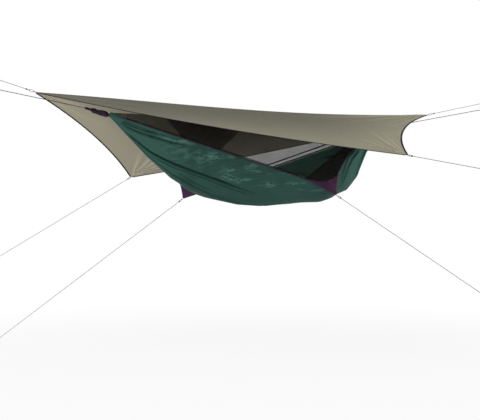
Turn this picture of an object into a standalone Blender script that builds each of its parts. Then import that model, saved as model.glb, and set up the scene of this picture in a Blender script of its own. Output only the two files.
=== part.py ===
# Hammock tent: an asymmetric camping hammock with its bug net and zip, hung between two
# tree slings under a separate diamond-shaped rain tarp.
# Metres, +Z up, +X from the left tree to the right one, +Y away from the zipped side.
# The origin is on the inner face of the left sling, where it bears on the tree.

import math

import bmesh
import bpy
from mathutils import Matrix, Vector

# Clearances
GAP = 0.0003
ZIP_PLAY = 0.00035

# Hammock: the cord along its top, and the pull-out corners measured from its middle
RIDGELINE_LENGTH = 2.74
RIDGE_CORD_RADIUS = 0.0016
PULL_OUT_ALONG = 0.571
PULL_OUT_ACROSS = 0.507
PULL_OUT_DROP = 0.709
BELLY_DROP = 0.803
FABRIC_THICKNESS = 0.002
NET_THICKNESS = 0.0012

# Suspension: how far each tie on its tree stands beyond the gathered end, and above it
LEFT_ROPE_RUN = 0.83
RIGHT_ROPE_RUN = 1.005
LEFT_TIE_RISE = 0.166
RIGHT_TIE_RISE = 0.254
ROPE_RADIUS = 0.003
WRAP_LENGTH = 0.205
WRAP_INNER_RADIUS = 0.026
WRAP_OUTER_RADIUS = 0.011
BUNDLE_DROP = 0.022
WRAP_STEPS = 14
# Gathered end under its wrap, from the rope inward: share of its length, share of its radius
WRAP_NECK_SHARES = ((1.0, 0.8), (0.97, 1.0), (0.9, 1.0), (0.8, 1.5))
WRAP_BUNDLE_SHARES = ((0.62, 0.8), (0.55, 0.78), (0.4, 0.95), (0.25, 0.9), (0.1, 1.0), (0.0, 0.95))

# Tree slings
TRUNK_RADIUS = 0.09
SLING_WIDTH = 0.038
SLING_THICKNESS = 0.0025
SLING_BIGHT = 0.01
SLING_PLAY = 0.0006
SLING_LEG = 0.12
TRUNK_FACETS = 9
BIGHT_FACETS = 7

# Rims of the sleeping fabric, all in the planes of the two net panels
CORNER_ALONG = 0.32
NEAR_CORNER_FALL = 0.692
FAR_CORNER_FALL = 0.765
PATCH_TOP_REACH = 0.084
SEAM_OVERLAP = 0.008
BINDING_WIDTH = 0.016
BINDING_THICKNESS = 0.003
PATCH_THICKNESS = 0.0025
NET_INSET = 0.02
NET_END_INSET = 0.04
GUSSET_GAP = 0.005
FAR_SEAM_START = 0.06
NOSE_REACH = 0.012
BUNDLE_REACH = 0.024

# Zip along the near rim
TAPE_WIDTH = 0.012
TAPE_THICKNESS = 0.001
COIL_WIDTH = 0.003
COIL_GAP = 0.0016
ZIP_START = 0.1
DOOR_ZIP_START = 0.157
ZIP_END_MARGIN = 0.02
DOOR_END_MARGIN = 0.06
SLIDER_LENGTH = 0.014
SLIDER_PLATE = 0.0012
SLIDER_WALL = 0.0012
SLIDER_PARK_GAP = 0.0014
BAIL_RADIUS = 0.0007
BAIL_HEIGHT = 0.0036
BAIL_CROWN_SHARE = 0.7
PULL_LENGTH = 0.024
PULL_WIDTH = 0.006
PULL_THICKNESS = 0.0012
PULL_LIMB = 0.0012
PULL_EYE = 0.0065

# Gear pocket under the ridgeline
POCKET_LEFT = 0.867
POCKET_RIGHT = 0.051
POCKET_APEX_ALONG = 0.504
POCKET_DEPTH = 0.43
POCKET_THICKNESS = 0.002
POCKET_TRAVEL = 0.08
HANGER_STOCK = 0.0008
HANGER_INSET = 0.02
NET_NOTCH = 0.0065

# Rain tarp, its corners measured from the middle of its ridge
HALF_TARP = 1.91
TARP_RISE = 0.145
TARP_SHIFT = 0.08
TARP_CORNER_ALONG = 0.85
TARP_CORNER_ACROSS = 1.39
TARP_CORNER_DROP = 0.59
TARP_THICKNESS = 0.002
TARP_RIDGE_SAG = 0.052
TARP_HEM_SAG = 0.035
TARP_NEAR_BOW = 0.138
TARP_FAR_BOW = 0.083
TARP_PANEL_SAG = 0.025
TARP_TIP_WIDTH = 0.024
TARP_BINDING_WIDTH = 0.014
TARP_BINDING_THICKNESS = 0.003
TARP_CORNER_BARE = 0.009
TARP_SEAM_GAP = 0.0007

# Lines, loops and clips
LINE_RADIUS = 0.002
LOOP_RADIUS = 0.002
LOOP_LENGTH = 0.024
LOOP_WIDTH = 0.016
CLIP_RADIUS = 0.0022
CLIP_LENGTH = 0.042
CLIP_WIDTH = 0.021
EYE_LENGTH = 0.022
KNOT_LENGTH = 0.014
KNOT_RADIUS = 0.0065
SUSPENSION_EYE_LENGTH = 0.075
SUSPENSION_EYE_BEND = 0.008
SUSPENSION_KNOT_LENGTH = 0.032
SUSPENSION_KNOT_RADIUS = 0.011
EYE_BEND_STEPS = 4
EYE_LEG_SHARE = 1.4
# Legs of the wide eye: share of its length, share of its half width
EYE_SHOULDER_SHARES = ((0.35, 0.85), (0.65, 0.4))
KNOT_TURNS = 3
KNOT_HOLLOW_SHARE = 1.2
KNOT_SIDES = 8
# One turn of a knot from its top: share of its height, share of the knot's radius
KNOT_TURN_SHARES = ((0.25, 1.0), (0.75, 1.0), (1.0, 0.8))
LEFT_TARP_RUN = 0.36
LEFT_TARP_CLIMB = 0.103
RIGHT_TARP_RUN = 0.69
RIGHT_TARP_CLIMB = 0.162
NEAR_TARP_GUY = (0.345, -0.575, -0.161)
FAR_TARP_GUY = (-1.37, 1.37, -0.897)
NEAR_HAMMOCK_GUY = (0.9, -0.905, -0.858)
FAR_HAMMOCK_GUY = (-1.72, 1.72, -1.53)

LINE_POINTS = 16
LOOP_POINTS = 14

# Depth of the belly from end to end: share of the half ridgeline, share of the belly's drop
BELLY_SHARES = (
    (-1.0, 0.03), (-0.89, 0.222), (-0.74, 0.471), (-0.58, 0.69), (-0.42, 0.83), (-0.3, 0.907),
    (-0.12, 0.978), (0.03, 0.996), (0.12, 0.977), (0.235, 0.961), (0.42, 0.95), (0.52, 0.901),
    (0.58, 0.849), (0.66, 0.79), (0.74, 0.63), (0.82, 0.335), (0.89, 0.18), (1.0, 0.03),
)
# Places along the body where its fabric is drawn, as shares of the half ridgeline
STATION_SHARES = (
    -0.996, -0.95, -0.89, -0.82, -0.74, -0.66, -0.58, -0.52, -0.47, -0.42, -0.36, -0.3, -0.235,
    -0.12, 0.0, 0.12, 0.235, 0.3, 0.36, 0.42, 0.47, 0.52, 0.58, 0.66, 0.74, 0.82, 0.89, 0.95,
    0.996,
)
SECTION_POINTS = 20
FOLD_COUNT = 4
FOLD_DEPTH = 0.011
FOLD_SLANT = 2.0
# Depth of the folds along the body: share of the half ridgeline, share of the full depth
FOLD_SHARES = ((0.0, 0.35), (0.35, 0.6), (0.65, 1.0), (0.85, 0.7), (1.0, 0.12))
# Inward pull of the short rim: the middle handle of its curve, as shares of the pull-out
RIM_HANDLE_SHARES = (0.15, 0.395)
# Inner edge of the corner patch: its handle, as shares between the corner and the pull-out
PATCH_HANDLE_SHARES = (0.765, 0.5)
RIM_POINTS = 16
PATCH_POINTS = 8
# Places along the tarp's ridge, as shares of its half length, outward from its corner
TARP_OUTER_SHARES = (0.52, 0.6, 0.68, 0.76, 0.84, 0.91, 0.965, 1.0)
TARP_INNER_SHARES = (-0.3, -0.15, 0.0, 0.15, 0.3)
TARP_PANEL_POINTS = 6
RIDGE_SAG_SKEW = 1.35

# Driving places
HALF_RIDGE = RIDGELINE_LENGTH / 2
SLING_REACH = TRUNK_RADIUS * 2 + SLING_LEG
LEFT_TIE = Vector((SLING_REACH, 0, 0))
CENTRE = LEFT_TIE + Vector((LEFT_ROPE_RUN + WRAP_LENGTH + HALF_RIDGE, 0, -LEFT_TIE_RISE))
RIGHT_TIE = CENTRE + Vector((HALF_RIDGE + WRAP_LENGTH + RIGHT_ROPE_RUN, 0, RIGHT_TIE_RISE))
TARP_CENTRE = CENTRE + Vector((-TARP_SHIFT, 0, TARP_RISE))
PULL_OUT_FALL = math.hypot(PULL_OUT_ACROSS, PULL_OUT_DROP)
PATCH_TOP_ALONG = PULL_OUT_ALONG + PATCH_TOP_REACH


# What sways with the hammock, apart from its door, slider, pull and pocket
HAMMOCK_PIECES = [
    "hammock_body", "far_net", "near_net_gusset", "ridgeline_cord", "rim_zip_tape",
    "far_long_binding",
]
for end_word in ("left", "right"):
    HAMMOCK_PIECES += [end_word + "_end_wrap", end_word + "_suspension_rope",
                       end_word + "_suspension_rope_tie"]
for side_word in ("near", "far"):
    HAMMOCK_PIECES += [side_word + "_short_binding", side_word + "_pull_patch",
                       side_word + "_pull_loop", side_word + "_hammock_guy",
                       side_word + "_hammock_guy_tie", side_word + "_hammock_guy_end"]


def start_scene():
    for leftover in list(bpy.data.objects):
        bpy.data.objects.remove(leftover, do_unlink=True)
    parts = bpy.data.collections.new("hammock_tent")
    cutters = bpy.data.collections.new("cutters")
    for group in (parts, cutters):
        bpy.context.scene.collection.children.link(group)
    return parts, cutters


PARTS, CUTTERS = start_scene()


def material(name, colour, roughness, metallic=0.0):
    made = bpy.data.materials.new(name)
    made.use_nodes = True
    shader = made.node_tree.nodes["Principled BSDF"]
    shader.inputs["Base Color"].default_value = (*colour, 1.0)
    shader.inputs["Roughness"].default_value = roughness
    shader.inputs["Metallic"].default_value = metallic
    made.diffuse_color = (*colour, 1.0)
    return made


def place(name, data, finish, matrix=None, group=None):
    thing = bpy.data.objects.new(name, data)
    data.materials.append(finish)
    if matrix is not None:
        thing.matrix_world = matrix
    (group or PARTS).objects.link(thing)
    return thing


def frame_matrix(origin, x_axis, y_axis, z_axis):
    turned_axes = Matrix((x_axis, y_axis, z_axis)).transposed()
    return Matrix.Translation(origin) @ turned_axes.to_4x4()


def sheet(name, rows, thickness, finish):
    """A cloth surface through rows of points, given its thickness on both sides."""
    mesh = bpy.data.meshes.new(name)
    shape = bmesh.new()
    lines = [[shape.verts.new(point) for point in row] for row in rows]
    for line, following in zip(lines, lines[1:]):
        for left, right, up_left, up_right in zip(line, line[1:], following, following[1:]):
            shape.faces.new((left, right, up_right, up_left))
    shape.to_mesh(mesh)
    shape.free()
    mesh.shade_smooth()
    made = place(name, mesh, finish)
    wall = made.modifiers.new("wall", "SOLIDIFY")
    wall.thickness = thickness
    wall.offset = 0
    return made


def lofted(name, rings, finish):
    """A closed solid through rings of points, with flat ends."""
    mesh = bpy.data.meshes.new(name)
    shape = bmesh.new()
    loops = [[shape.verts.new(point) for point in ring] for ring in rings]
    for loop, following in zip(loops, loops[1:]):
        for index, corner in enumerate(loop):
            after = (index + 1) % len(loop)
            shape.faces.new((corner, loop[after], following[after], following[index]))
    shape.faces.new(loops[0][::-1])
    shape.faces.new(loops[-1])
    bmesh.ops.recalc_face_normals(shape, faces=shape.faces)
    shape.to_mesh(mesh)
    shape.free()
    return place(name, mesh, finish)


def tube_data(name, paths, radius, closed=False, resolution=2):
    curve = bpy.data.curves.new(name, "CURVE")
    curve.dimensions = "3D"
    curve.bevel_depth = radius
    curve.bevel_resolution = resolution
    curve.use_fill_caps = True
    for path in paths:
        spline = curve.splines.new("POLY")
        spline.points.add(len(path) - 1)
        for spot, point in zip(spline.points, path):
            spot.co = (*point, 1.0)
        spline.use_cyclic_u = closed
        spline.use_smooth = True
    return curve


def tube(name, path, radius, finish, closed=False, resolution=2):
    return place(name, tube_data(name, [path], radius, closed, resolution), finish)


def flat(name, outline, thickness, finish, matrix, group=None, hole=()):
    """A flat outline with straight sides, centred on its own plane, and perhaps a hole."""
    curve = bpy.data.curves.new(name, "CURVE")
    curve.dimensions = "2D"
    curve.fill_mode = "BOTH"
    curve.extrude = thickness / 2
    for line in filter(None, (outline, hole)):
        spline = curve.splines.new("POLY")
        spline.points.add(len(line) - 1)
        for spot, (across, up) in zip(spline.points, line):
            spot.co = (across, up, 0, 1.0)
        spline.use_cyclic_u = True
    return place(name, curve, finish, matrix, group)


def carry(carrier, thing):
    """Parents a thing to its carrier and leaves it where it is."""
    bpy.context.view_layer.update()
    thing.parent = carrier
    thing.matrix_parent_inverse = carrier.matrix_world.inverted()


def hang(name, spot, carrier, words):
    """An empty on a joint's axis that carries the pieces whose names are given."""
    axis = bpy.data.objects.new(name, None)
    axis.location = spot
    PARTS.objects.link(axis)
    if carrier:
        carry(carrier, axis)
    for word in words:
        carry(axis, bpy.data.objects[word])
    return axis


def meshed(thing):
    """The same piece as a mesh, with its loose caps joined on."""
    bpy.context.view_layer.update()
    graph = bpy.context.evaluated_depsgraph_get()
    mesh = bpy.data.meshes.new_from_object(thing.evaluated_get(graph))
    shape = bmesh.new()
    shape.from_mesh(mesh)
    bmesh.ops.remove_doubles(shape, verts=shape.verts, dist=GAP / 100)
    bmesh.ops.recalc_face_normals(shape, faces=shape.faces)
    shape.to_mesh(mesh)
    shape.free()
    name, matrix, groups = thing.name, thing.matrix_world.copy(), list(thing.users_collection)
    bpy.data.objects.remove(thing, do_unlink=True)
    made = bpy.data.objects.new(name, mesh)
    made.matrix_world = matrix
    for group in groups:
        group.objects.link(made)
    return made


def turned(name, profile, start, direction, finish, steps=12):
    """A solid of revolution; the profile gives radius and height, top first."""
    mesh = bpy.data.meshes.new(name)
    spots = [(radius, 0, height) for radius, height in profile]
    mesh.from_pydata(spots, [(index, index + 1) for index in range(len(spots) - 1)], [])
    aim = direction.to_track_quat("Z", "Y").to_matrix().to_4x4()
    made = place(name, mesh, finish, Matrix.Translation(start) @ aim)
    spin = made.modifiers.new("turn", "SCREW")
    spin.axis = "Z"
    spin.steps = steps
    spin.render_steps = steps
    spin.use_merge_vertices = True
    spin.merge_threshold = GAP / 10
    spin.use_smooth_shade = True
    return made


def share_at(table, share):
    """Reads a table of shares at one place, with straight lines between its rows."""
    for (low, low_value), (high, high_value) in zip(table, table[1:]):
        if share <= high:
            return low_value + (high_value - low_value) * (share - low) / (high - low)
    return table[-1][1]


def bend(start, handle, end, share):
    """A point on the curve from start to end that is drawn towards the handle."""
    return start.lerp(handle, share).lerp(handle.lerp(end, share), share)


# Net panels
# Each panel hangs in a plane through the ridgeline. A place in it is given by its distance
# along from the middle, towards that panel's pull-out, and its fall from the ridgeline.

def panel_axes(side):
    along = Vector((side, 0, 0))
    fall = Vector((0, -side * PULL_OUT_ACROSS, -PULL_OUT_DROP)).normalized()
    return along, fall, along.cross(fall)


def panel_point(side, along, fall, inward=0.0):
    x_axis, y_axis, z_axis = panel_axes(side)
    return CENTRE + x_axis * along + y_axis * fall + z_axis * inward


def panel_matrix(side):
    return frame_matrix(CENTRE, *panel_axes(side))


def offset_line(line, distance):
    """The line moved outward, away from the net, by the distance at every point."""
    moved = []
    for index, point in enumerate(line):
        before, after = line[max(index - 1, 0)], line[min(index + 1, len(line) - 1)]
        heading = (after - before).normalized()
        moved.append(point + Vector((-heading.y, heading.x)) * distance)
    return moved


def fall_at(line, along):
    for low, high in zip(line, line[1:]):
        if along <= high.x:
            return low.y + (high.y - low.y) * (along - low.x) / (high.x - low.x)
    return line[-1].y


def rim_lines(side):
    """The rim's straight long side, and its short side from the pull-out to the other end."""
    gather = Vector((-HALF_RIDGE, 0))
    corner = Vector((CORNER_ALONG, NEAR_CORNER_FALL if side > 0 else FAR_CORNER_FALL))
    tip = Vector((PULL_OUT_ALONG, PULL_OUT_FALL))
    foot = Vector((HALF_RIDGE, 0))
    along_share, fall_share = RIM_HANDLE_SHARES
    handle = Vector((tip.x + (foot.x - tip.x) * along_share, tip.y * fall_share))
    short = [bend(tip, handle, foot, index / RIM_POINTS) for index in range(RIM_POINTS + 1)]
    return [gather, corner], short


def patch_edge(side):
    """The curved inner edge of the corner patch, from the long rim to the short one."""
    (gather, corner), short = rim_lines(side)
    tip = short[0]
    top = Vector((PATCH_TOP_ALONG, fall_at(short, PATCH_TOP_ALONG)))
    along_share, level_share = PATCH_HANDLE_SHARES
    handle = Vector((corner.x + (tip.x - corner.x) * along_share,
                     corner.y + (tip.y - corner.y) * level_share))
    return [bend(corner, handle, top, index / PATCH_POINTS) for index in range(PATCH_POINTS + 1)]


def after_patch(line):
    return [point for point in line if point.x > PATCH_TOP_ALONG + BINDING_WIDTH]


def net_outline(side, start, top_line, long_inset):
    """The net between the ridgeline, the long rim, the patch and the short rim."""
    long_rim, short = rim_lines(side)
    edge = offset_line(long_rim, -long_inset)
    slope = (edge[1] - edge[0]).normalized()
    lower = [edge[0] + slope * start, edge[1] - slope * long_inset]
    lower += [point for point in offset_line(patch_edge(side), -GAP)[1:-1]
              if point.x > lower[-1].x + GAP]
    end = HALF_RIDGE - NET_END_INSET
    for point in offset_line(short, -(BINDING_WIDTH / 2 + GAP)):
        if PATCH_TOP_ALONG - GAP < point.x < end:
            lower.append(point)
    return lower + [Vector((end, top_line[-1][1]))] + [Vector(spot) for spot in top_line[::-1]]


def notched_top(start, notch_start, notch_end):
    """The net's upper edge under the ridgeline, stepped down where the pocket's hangers run."""
    top = RIDGE_CORD_RADIUS + GAP
    return [(start, top), (notch_start, top), (notch_start, NET_NOTCH), (notch_end, NET_NOTCH),
            (notch_end, top), (HALF_RIDGE - NET_END_INSET, top)]


def rim_strip(name, side, line, reach, thickness, finish):
    outline = offset_line(line, reach) + offset_line(line, -reach)[::-1]
    return flat(name, outline, thickness, finish, panel_matrix(side))


def pull_out_nose(side):
    """The patch's outermost point, where the pull-out loop is sewn on: along, fall."""
    tip = rim_lines(side)[1][0]
    middle = patch_edge(side)[PATCH_POINTS // 2]
    return tip + (tip - middle).normalized() * NOSE_REACH


def make_patch(name, side, purple):
    """The reinforced corner: two straight hems that meet at the nose, and a curved inner edge."""
    long_rim, short = rim_lines(side)
    corner, tip = long_rim[1], short[0]
    edge = patch_edge(side)
    short_leg = [point for point in short if point.x < PATCH_TOP_ALONG - GAP]
    outline = [edge[0] + GAP * (corner - long_rim[0]).normalized()]
    outline += offset_line([corner, tip], SEAM_OVERLAP) + [pull_out_nose(side)]
    outline += offset_line(short_leg + [edge[-1]], BINDING_WIDTH / 2)[1:] + edge[1:][::-1]
    flat(name, outline, PATCH_THICKNESS, purple, panel_matrix(side))


def make_short_binding(name, side, tape):
    line = after_patch(rim_lines(side)[1])
    foot, before = line[-1], line[-2]
    end = foot.lerp(before, NET_INSET / (foot - before).length)
    rim_strip(name, side, line[:-1] + [end], BINDING_WIDTH / 2, BINDING_THICKNESS, tape)


def make_nets(net, tape, purple):
    notch_left = POCKET_LEFT + POCKET_TRAVEL + NET_INSET
    notch_right = POCKET_TRAVEL + NET_INSET - POCKET_RIGHT
    near_rim = rim_lines(1)[0]
    door_start = near_rim[0].lerp(near_rim[1], DOOR_ZIP_START / (near_rim[1] - near_rim[0]).length)
    near_top = notched_top(door_start.x, -notch_left, notch_right)
    flat("near_net_door", net_outline(1, DOOR_ZIP_START, near_top, TAPE_WIDTH + GAP),
         NET_THICKNESS, net, panel_matrix(1))

    gusset_start = -HALF_RIDGE + NET_END_INSET
    gusset_end = door_start.x - GUSSET_GAP
    gusset_rim = offset_line(near_rim, -(COIL_WIDTH + COIL_GAP + SLIDER_WALL + GAP * 2))
    top = RIDGE_CORD_RADIUS + GAP
    gusset = [(gusset_start, fall_at(gusset_rim, gusset_start)),
              (gusset_end, fall_at(gusset_rim, gusset_end)), (gusset_end, top),
              (gusset_start, top)]
    flat("near_net_gusset", gusset, NET_THICKNESS, net, panel_matrix(1))

    far_top = notched_top(-HALF_RIDGE + NET_END_INSET, -notch_right, notch_left)
    flat("far_net", net_outline(-1, FAR_SEAM_START, far_top, BINDING_WIDTH / 2 + GAP),
         NET_THICKNESS, net, panel_matrix(-1))
    far_rim = rim_lines(-1)[0]
    slope = (far_rim[1] - far_rim[0]).normalized()
    line = [far_rim[0] + slope * FAR_SEAM_START, far_rim[1] - slope * BINDING_WIDTH]
    rim_strip("far_long_binding", -1, line, BINDING_WIDTH / 2, BINDING_THICKNESS, tape)

    for side, word in ((1, "near"), (-1, "far")):
        make_patch(word + "_pull_patch", side, purple)
        make_short_binding(word + "_short_binding", side, tape)


# Sleeping fabric

def body_edge(side):
    """Where the fabric's margin lies behind its rim and its corner patch: along, fall."""
    long_rim, short = rim_lines(side)
    line = offset_line(long_rim, SEAM_OVERLAP)
    line += offset_line(patch_edge(side), SEAM_OVERLAP)[1:-1]
    return line + [point for point in short if point.x > PATCH_TOP_ALONG + SEAM_OVERLAP]


def body_rim(side, along, line):
    """The fabric's margin, behind the zip's tape on the near long rim and the binding elsewhere."""
    fall = max(fall_at(line, along), BUNDLE_REACH)
    before = TAPE_THICKNESS if side > 0 and along < CORNER_ALONG else BINDING_THICKNESS
    inward = before / 2 + GAP + FABRIC_THICKNESS / 2
    return panel_point(side, along, fall, inward)


def belly_point(near, far, low, share):
    """A point of the hanging cloth: down from the near rim to its lowest line, up to the far."""
    rim = near if share < 1 / 2 else far
    turn = math.pi * min(share, 1 - share)
    level = rim.y + (low.y - rim.y) * (1 - math.cos(turn))
    return Vector((low.x, level, rim.z + (low.z - rim.z) * math.sin(turn)))


def make_body(green):
    edges = {side: body_edge(side) for side in (1, -1)}
    rows = []
    for station in STATION_SHARES:
        along = station * HALF_RIDGE
        near = body_rim(1, along, edges[1])
        far = body_rim(-1, -along, edges[-1])
        floor = CENTRE.z - BELLY_DROP * share_at(BELLY_SHARES, station)
        floor = min(floor, near.z - FOLD_DEPTH, far.z - FOLD_DEPTH)
        low = Vector((near.x, (near.y + far.y) / 2, floor))
        fold = FOLD_DEPTH * share_at(FOLD_SHARES, abs(station))
        row = [belly_point(near, far, low, index / SECTION_POINTS)
               for index in range(SECTION_POINTS + 1)]
        folded = [row[0]]
        for index in range(1, SECTION_POINTS):
            share = index / SECTION_POINTS
            across = row[index + 1] - row[index - 1]
            outward = Vector((0, across.z, -across.y)).normalized()
            wave = math.sin(math.tau * FOLD_COUNT * share + FOLD_SLANT * station)
            folded.append(row[index] + outward * wave * fold * math.sin(math.pi * share))
        rows.append(folded + [row[-1]])
    sheet("hammock_body", rows, FABRIC_THICKNESS, green)


# Zip

def zip_axes():
    """Along the zip, outward across it in the net's plane, and square to the net outward."""
    x_axis, y_axis, z_axis = panel_axes(1)
    gather, corner = rim_lines(1)[0]
    slope = (corner - gather).normalized()
    along = x_axis * slope.x + y_axis * slope.y
    across = -x_axis * slope.y + y_axis * slope.x
    return along, across, -z_axis


def zip_section(name, outline, start, end, finish):
    """A bar of one section along the zip line; the outline gives across and outward."""
    along, across, outward = zip_axes()
    origin = panel_point(1, -HALF_RIDGE, 0) + along * (start + end) / 2
    return flat(name, outline, end - start, finish,
                frame_matrix(origin, across, outward, -along))


def half_zip_outline(direction):
    coil, tape = COIL_WIDTH / 2, TAPE_THICKNESS / 2
    inner, outer = COIL_GAP / 2, COIL_GAP / 2 + COIL_WIDTH
    cut = COIL_WIDTH / 4
    spots = [(inner, -coil + cut), (inner + cut, -coil), (outer - cut, -coil), (outer, -tape),
             (TAPE_WIDTH, -tape), (TAPE_WIDTH, tape), (outer, tape), (outer - cut, coil),
             (inner + cut, coil), (inner, coil - cut)]
    return [(across * direction, up) for across, up in spots]


def make_zip(webbing, metal):
    gather, corner = rim_lines(1)[0]
    length = (corner - gather).length
    zip_section("rim_zip_tape", half_zip_outline(1), ZIP_START, length - ZIP_END_MARGIN, webbing)
    zip_section("door_zip_tape", half_zip_outline(-1), DOOR_ZIP_START, length - DOOR_END_MARGIN,
                webbing)

    along, across, outward = zip_axes()
    park = DOOR_ZIP_START - SLIDER_LENGTH / 2 - SLIDER_PARK_GAP
    middle = panel_point(1, -HALF_RIDGE, 0) + along * park
    inside = COIL_WIDTH / 2 + ZIP_PLAY
    top = inside + SLIDER_PLATE
    wall_in = COIL_GAP / 2 + COIL_WIDTH + ZIP_PLAY
    wall_out = wall_in + SLIDER_WALL
    lip = TAPE_THICKNESS / 2 + ZIP_PLAY
    post = COIL_GAP / 2 - ZIP_PLAY
    quarter = [(post, inside), (wall_in, inside), (wall_in, lip), (wall_out, lip),
               (wall_out, top - SLIDER_PLATE / 3), (wall_out - SLIDER_PLATE / 3, top)]
    right = quarter + [(-across_, up) for across_, up in quarter[::-1]]
    outline = right + [(-across_, -up) for across_, up in right]
    slider = zip_section("zip_slider", outline, park - SLIDER_LENGTH / 2,
                         park + SLIDER_LENGTH / 2, metal)
    slider = meshed(slider)
    reach = SLIDER_LENGTH / 3
    base = top - SLIDER_PLATE / 2
    crown = reach * BAIL_CROWN_SHARE
    route = [(-reach, base), (-reach, top + BAIL_HEIGHT / 2), (-crown, top + BAIL_HEIGHT),
             (crown, top + BAIL_HEIGHT), (reach, top + BAIL_HEIGHT / 2), (reach, base)]
    path = [middle + along * run + outward * height for run, height in route]
    joined(slider, tube("bail", path, BAIL_RADIUS, metal), "bail", "MANIFOLD")

    axle = middle + outward * (top + GAP + PULL_THICKNESS / 2 + ZIP_PLAY)
    half, limb = PULL_WIDTH / 2, PULL_LIMB
    inner = half - limb
    pull_outline = [(-limb / 2, -half), (PULL_LENGTH - half, -half), (PULL_LENGTH, -half / 2),
                    (PULL_LENGTH, half / 2), (PULL_LENGTH - half, half), (-limb / 2, half)]
    pull = meshed(flat("zip_pull", pull_outline, PULL_THICKNESS, metal,
                       frame_matrix(axle, -along, across, outward)))
    hole = [(limb / 2, -inner), (PULL_EYE, -inner), (PULL_EYE, inner), (limb / 2, inner)]
    cutter = meshed(flat("pull_eye", hole, PULL_THICKNESS * 3, metal,
                         frame_matrix(axle, -along, across, outward), CUTTERS))
    cutter.hide_render = True
    cutter.display_type = "WIRE"
    carry(pull, cutter)
    cut = pull.modifiers.new("eye", "BOOLEAN")
    cut.operation = "DIFFERENCE"
    cut.solver = "EXACT"
    cut.object = cutter
    return middle, axle


# Ridgeline, pocket and gathered ends

def make_ridgeline(cord, net):
    ends = []
    for sign in (-1, 1):
        inner, outer = wrap_ends(sign)
        slope = (outer.z - inner.z) / abs(outer.x - inner.x)
        lean = (BUNDLE_DROP + RIDGE_CORD_RADIUS) * slope
        ends.append(CENTRE + Vector((sign * (HALF_RIDGE - lean - GAP), 0, 0)))
    tube("ridgeline_cord", ends, RIDGE_CORD_RADIUS, cord)

    ring = RIDGE_CORD_RADIUS + GAP + HANGER_STOCK
    top = ring + HANGER_STOCK + GAP
    triangle = [(-POCKET_LEFT, -top), (-POCKET_APEX_ALONG, -top - POCKET_DEPTH),
                (-POCKET_RIGHT, -top)]
    upright = frame_matrix(CENTRE, Vector((1, 0, 0)), Vector((0, 0, 1)), Vector((0, -1, 0)))
    flat("gear_pocket", triangle, POCKET_THICKNESS, net, upright)
    for word, spot in (("left", HANGER_INSET - POCKET_LEFT),
                       ("right", -POCKET_RIGHT - HANGER_INSET)):
        turns = [math.tau * index / LOOP_POINTS for index in range(LOOP_POINTS)]
        path = [CENTRE + Vector((spot, ring * math.sin(turn), ring * math.cos(turn)))
                for turn in turns]
        tube(word + "_pocket_hanger", path, HANGER_STOCK, cord, closed=True, resolution=1)


def wrap_ends(sign):
    rise = LEFT_TIE_RISE if sign < 0 else RIGHT_TIE_RISE
    run = LEFT_ROPE_RUN if sign < 0 else RIGHT_ROPE_RUN
    inner = CENTRE + Vector((sign * HALF_RIDGE, 0, -BUNDLE_DROP))
    outer = CENTRE + Vector((sign * (HALF_RIDGE + WRAP_LENGTH), 0,
                             rise * WRAP_LENGTH / (WRAP_LENGTH + run)))
    return inner, outer


def make_wraps(purple):
    for sign, word in ((-1, "left"), (1, "right")):
        inner, outer = wrap_ends(sign)
        length = (outer - inner).length
        neck = [(WRAP_OUTER_RADIUS * wide, length * up) for up, wide in WRAP_NECK_SHARES]
        bundle = [(WRAP_INNER_RADIUS * wide, length * up) for up, wide in WRAP_BUNDLE_SHARES]
        profile = [(0, length)] + neck + bundle + [(0, 0)]
        turned(word + "_end_wrap", profile, inner, outer - inner, purple, WRAP_STEPS)


# Lines and their ties

def stadium(start, heading, sideways, length, width):
    """A closed loop that begins at start, around two half circles joined by straight sides."""
    radius = width / 2
    centres = (start + heading * radius, start + heading * (length - radius))
    path = []
    half = LOOP_POINTS // 2
    for centre, turn_start in ((centres[0], math.pi / 2), (centres[1], -math.pi / 2)):
        for index in range(half):
            turn = turn_start + math.pi * index / (half - 1)
            path.append(centre + heading * radius * math.cos(turn)
                        + sideways * radius * math.sin(turn))
    return path


def link(name, start, heading, sideways, length, width, radius, finish):
    """A closed link whose middle line begins at start; gives the far end of that line."""
    path = stadium(start, heading, sideways, length - radius * 2, width - radius * 2)
    tube(name, path, radius, finish, closed=True, resolution=1)
    return start + heading * (length - radius * 2)


def eye_path(knot, heading, sideways, length, radius):
    """An open loop whose two ends run into the knot, and whose bight lies at its far end."""
    path = []
    count = LOOP_POINTS
    for index in range(count + 1):
        share = index / count
        turn = math.tau * share
        reach = length * (1 - math.cos(turn)) / 2
        spread = (length / 4) * math.sin(turn) + radius * EYE_LEG_SHARE * math.cos(math.pi * share)
        path.append(knot + heading * reach + sideways * spread)
    return path


def wide_eye_path(bight, direction, length, radius):
    """An eye that takes the sling's webbing: a straight bight, two bends, and two legs."""
    half = []
    for index in range(EYE_BEND_STEPS + 1):
        turn = math.pi / 2 * index / EYE_BEND_STEPS
        half.append((SUSPENSION_EYE_BEND * (1 - math.cos(turn)),
                     SLING_WIDTH / 2 + SUSPENSION_EYE_BEND * math.sin(turn)))
    shoulder = SLING_WIDTH / 2 + SUSPENSION_EYE_BEND
    half += [(length * run, shoulder * spread) for run, spread in EYE_SHOULDER_SHARES]
    half.append((length + radius * 2, radius * EYE_LEG_SHARE))
    spots = [(run, up) for run, up in half[::-1]] + [(run, -up) for run, up in half]
    level = Vector((math.copysign(1, direction.x), 0, 0))
    path = []
    for run, up in spots:
        heading = level.lerp(direction, min(run / length, 1) ** 2)
        path.append(bight + heading * run + Vector((0, 0, up)))
    return path


def knot_profile(length, radius, hollow):
    """Turns of cord on a knot, from its top down."""
    step = length / KNOT_TURNS
    profile = [(0, length), (hollow, length)]
    for index in range(KNOT_TURNS):
        top = length - step * index
        profile += [(radius * wide, top - step * down) for down, wide in KNOT_TURN_SHARES]
    return profile[:-1] + [(hollow, 0), (0, 0)]


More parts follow.
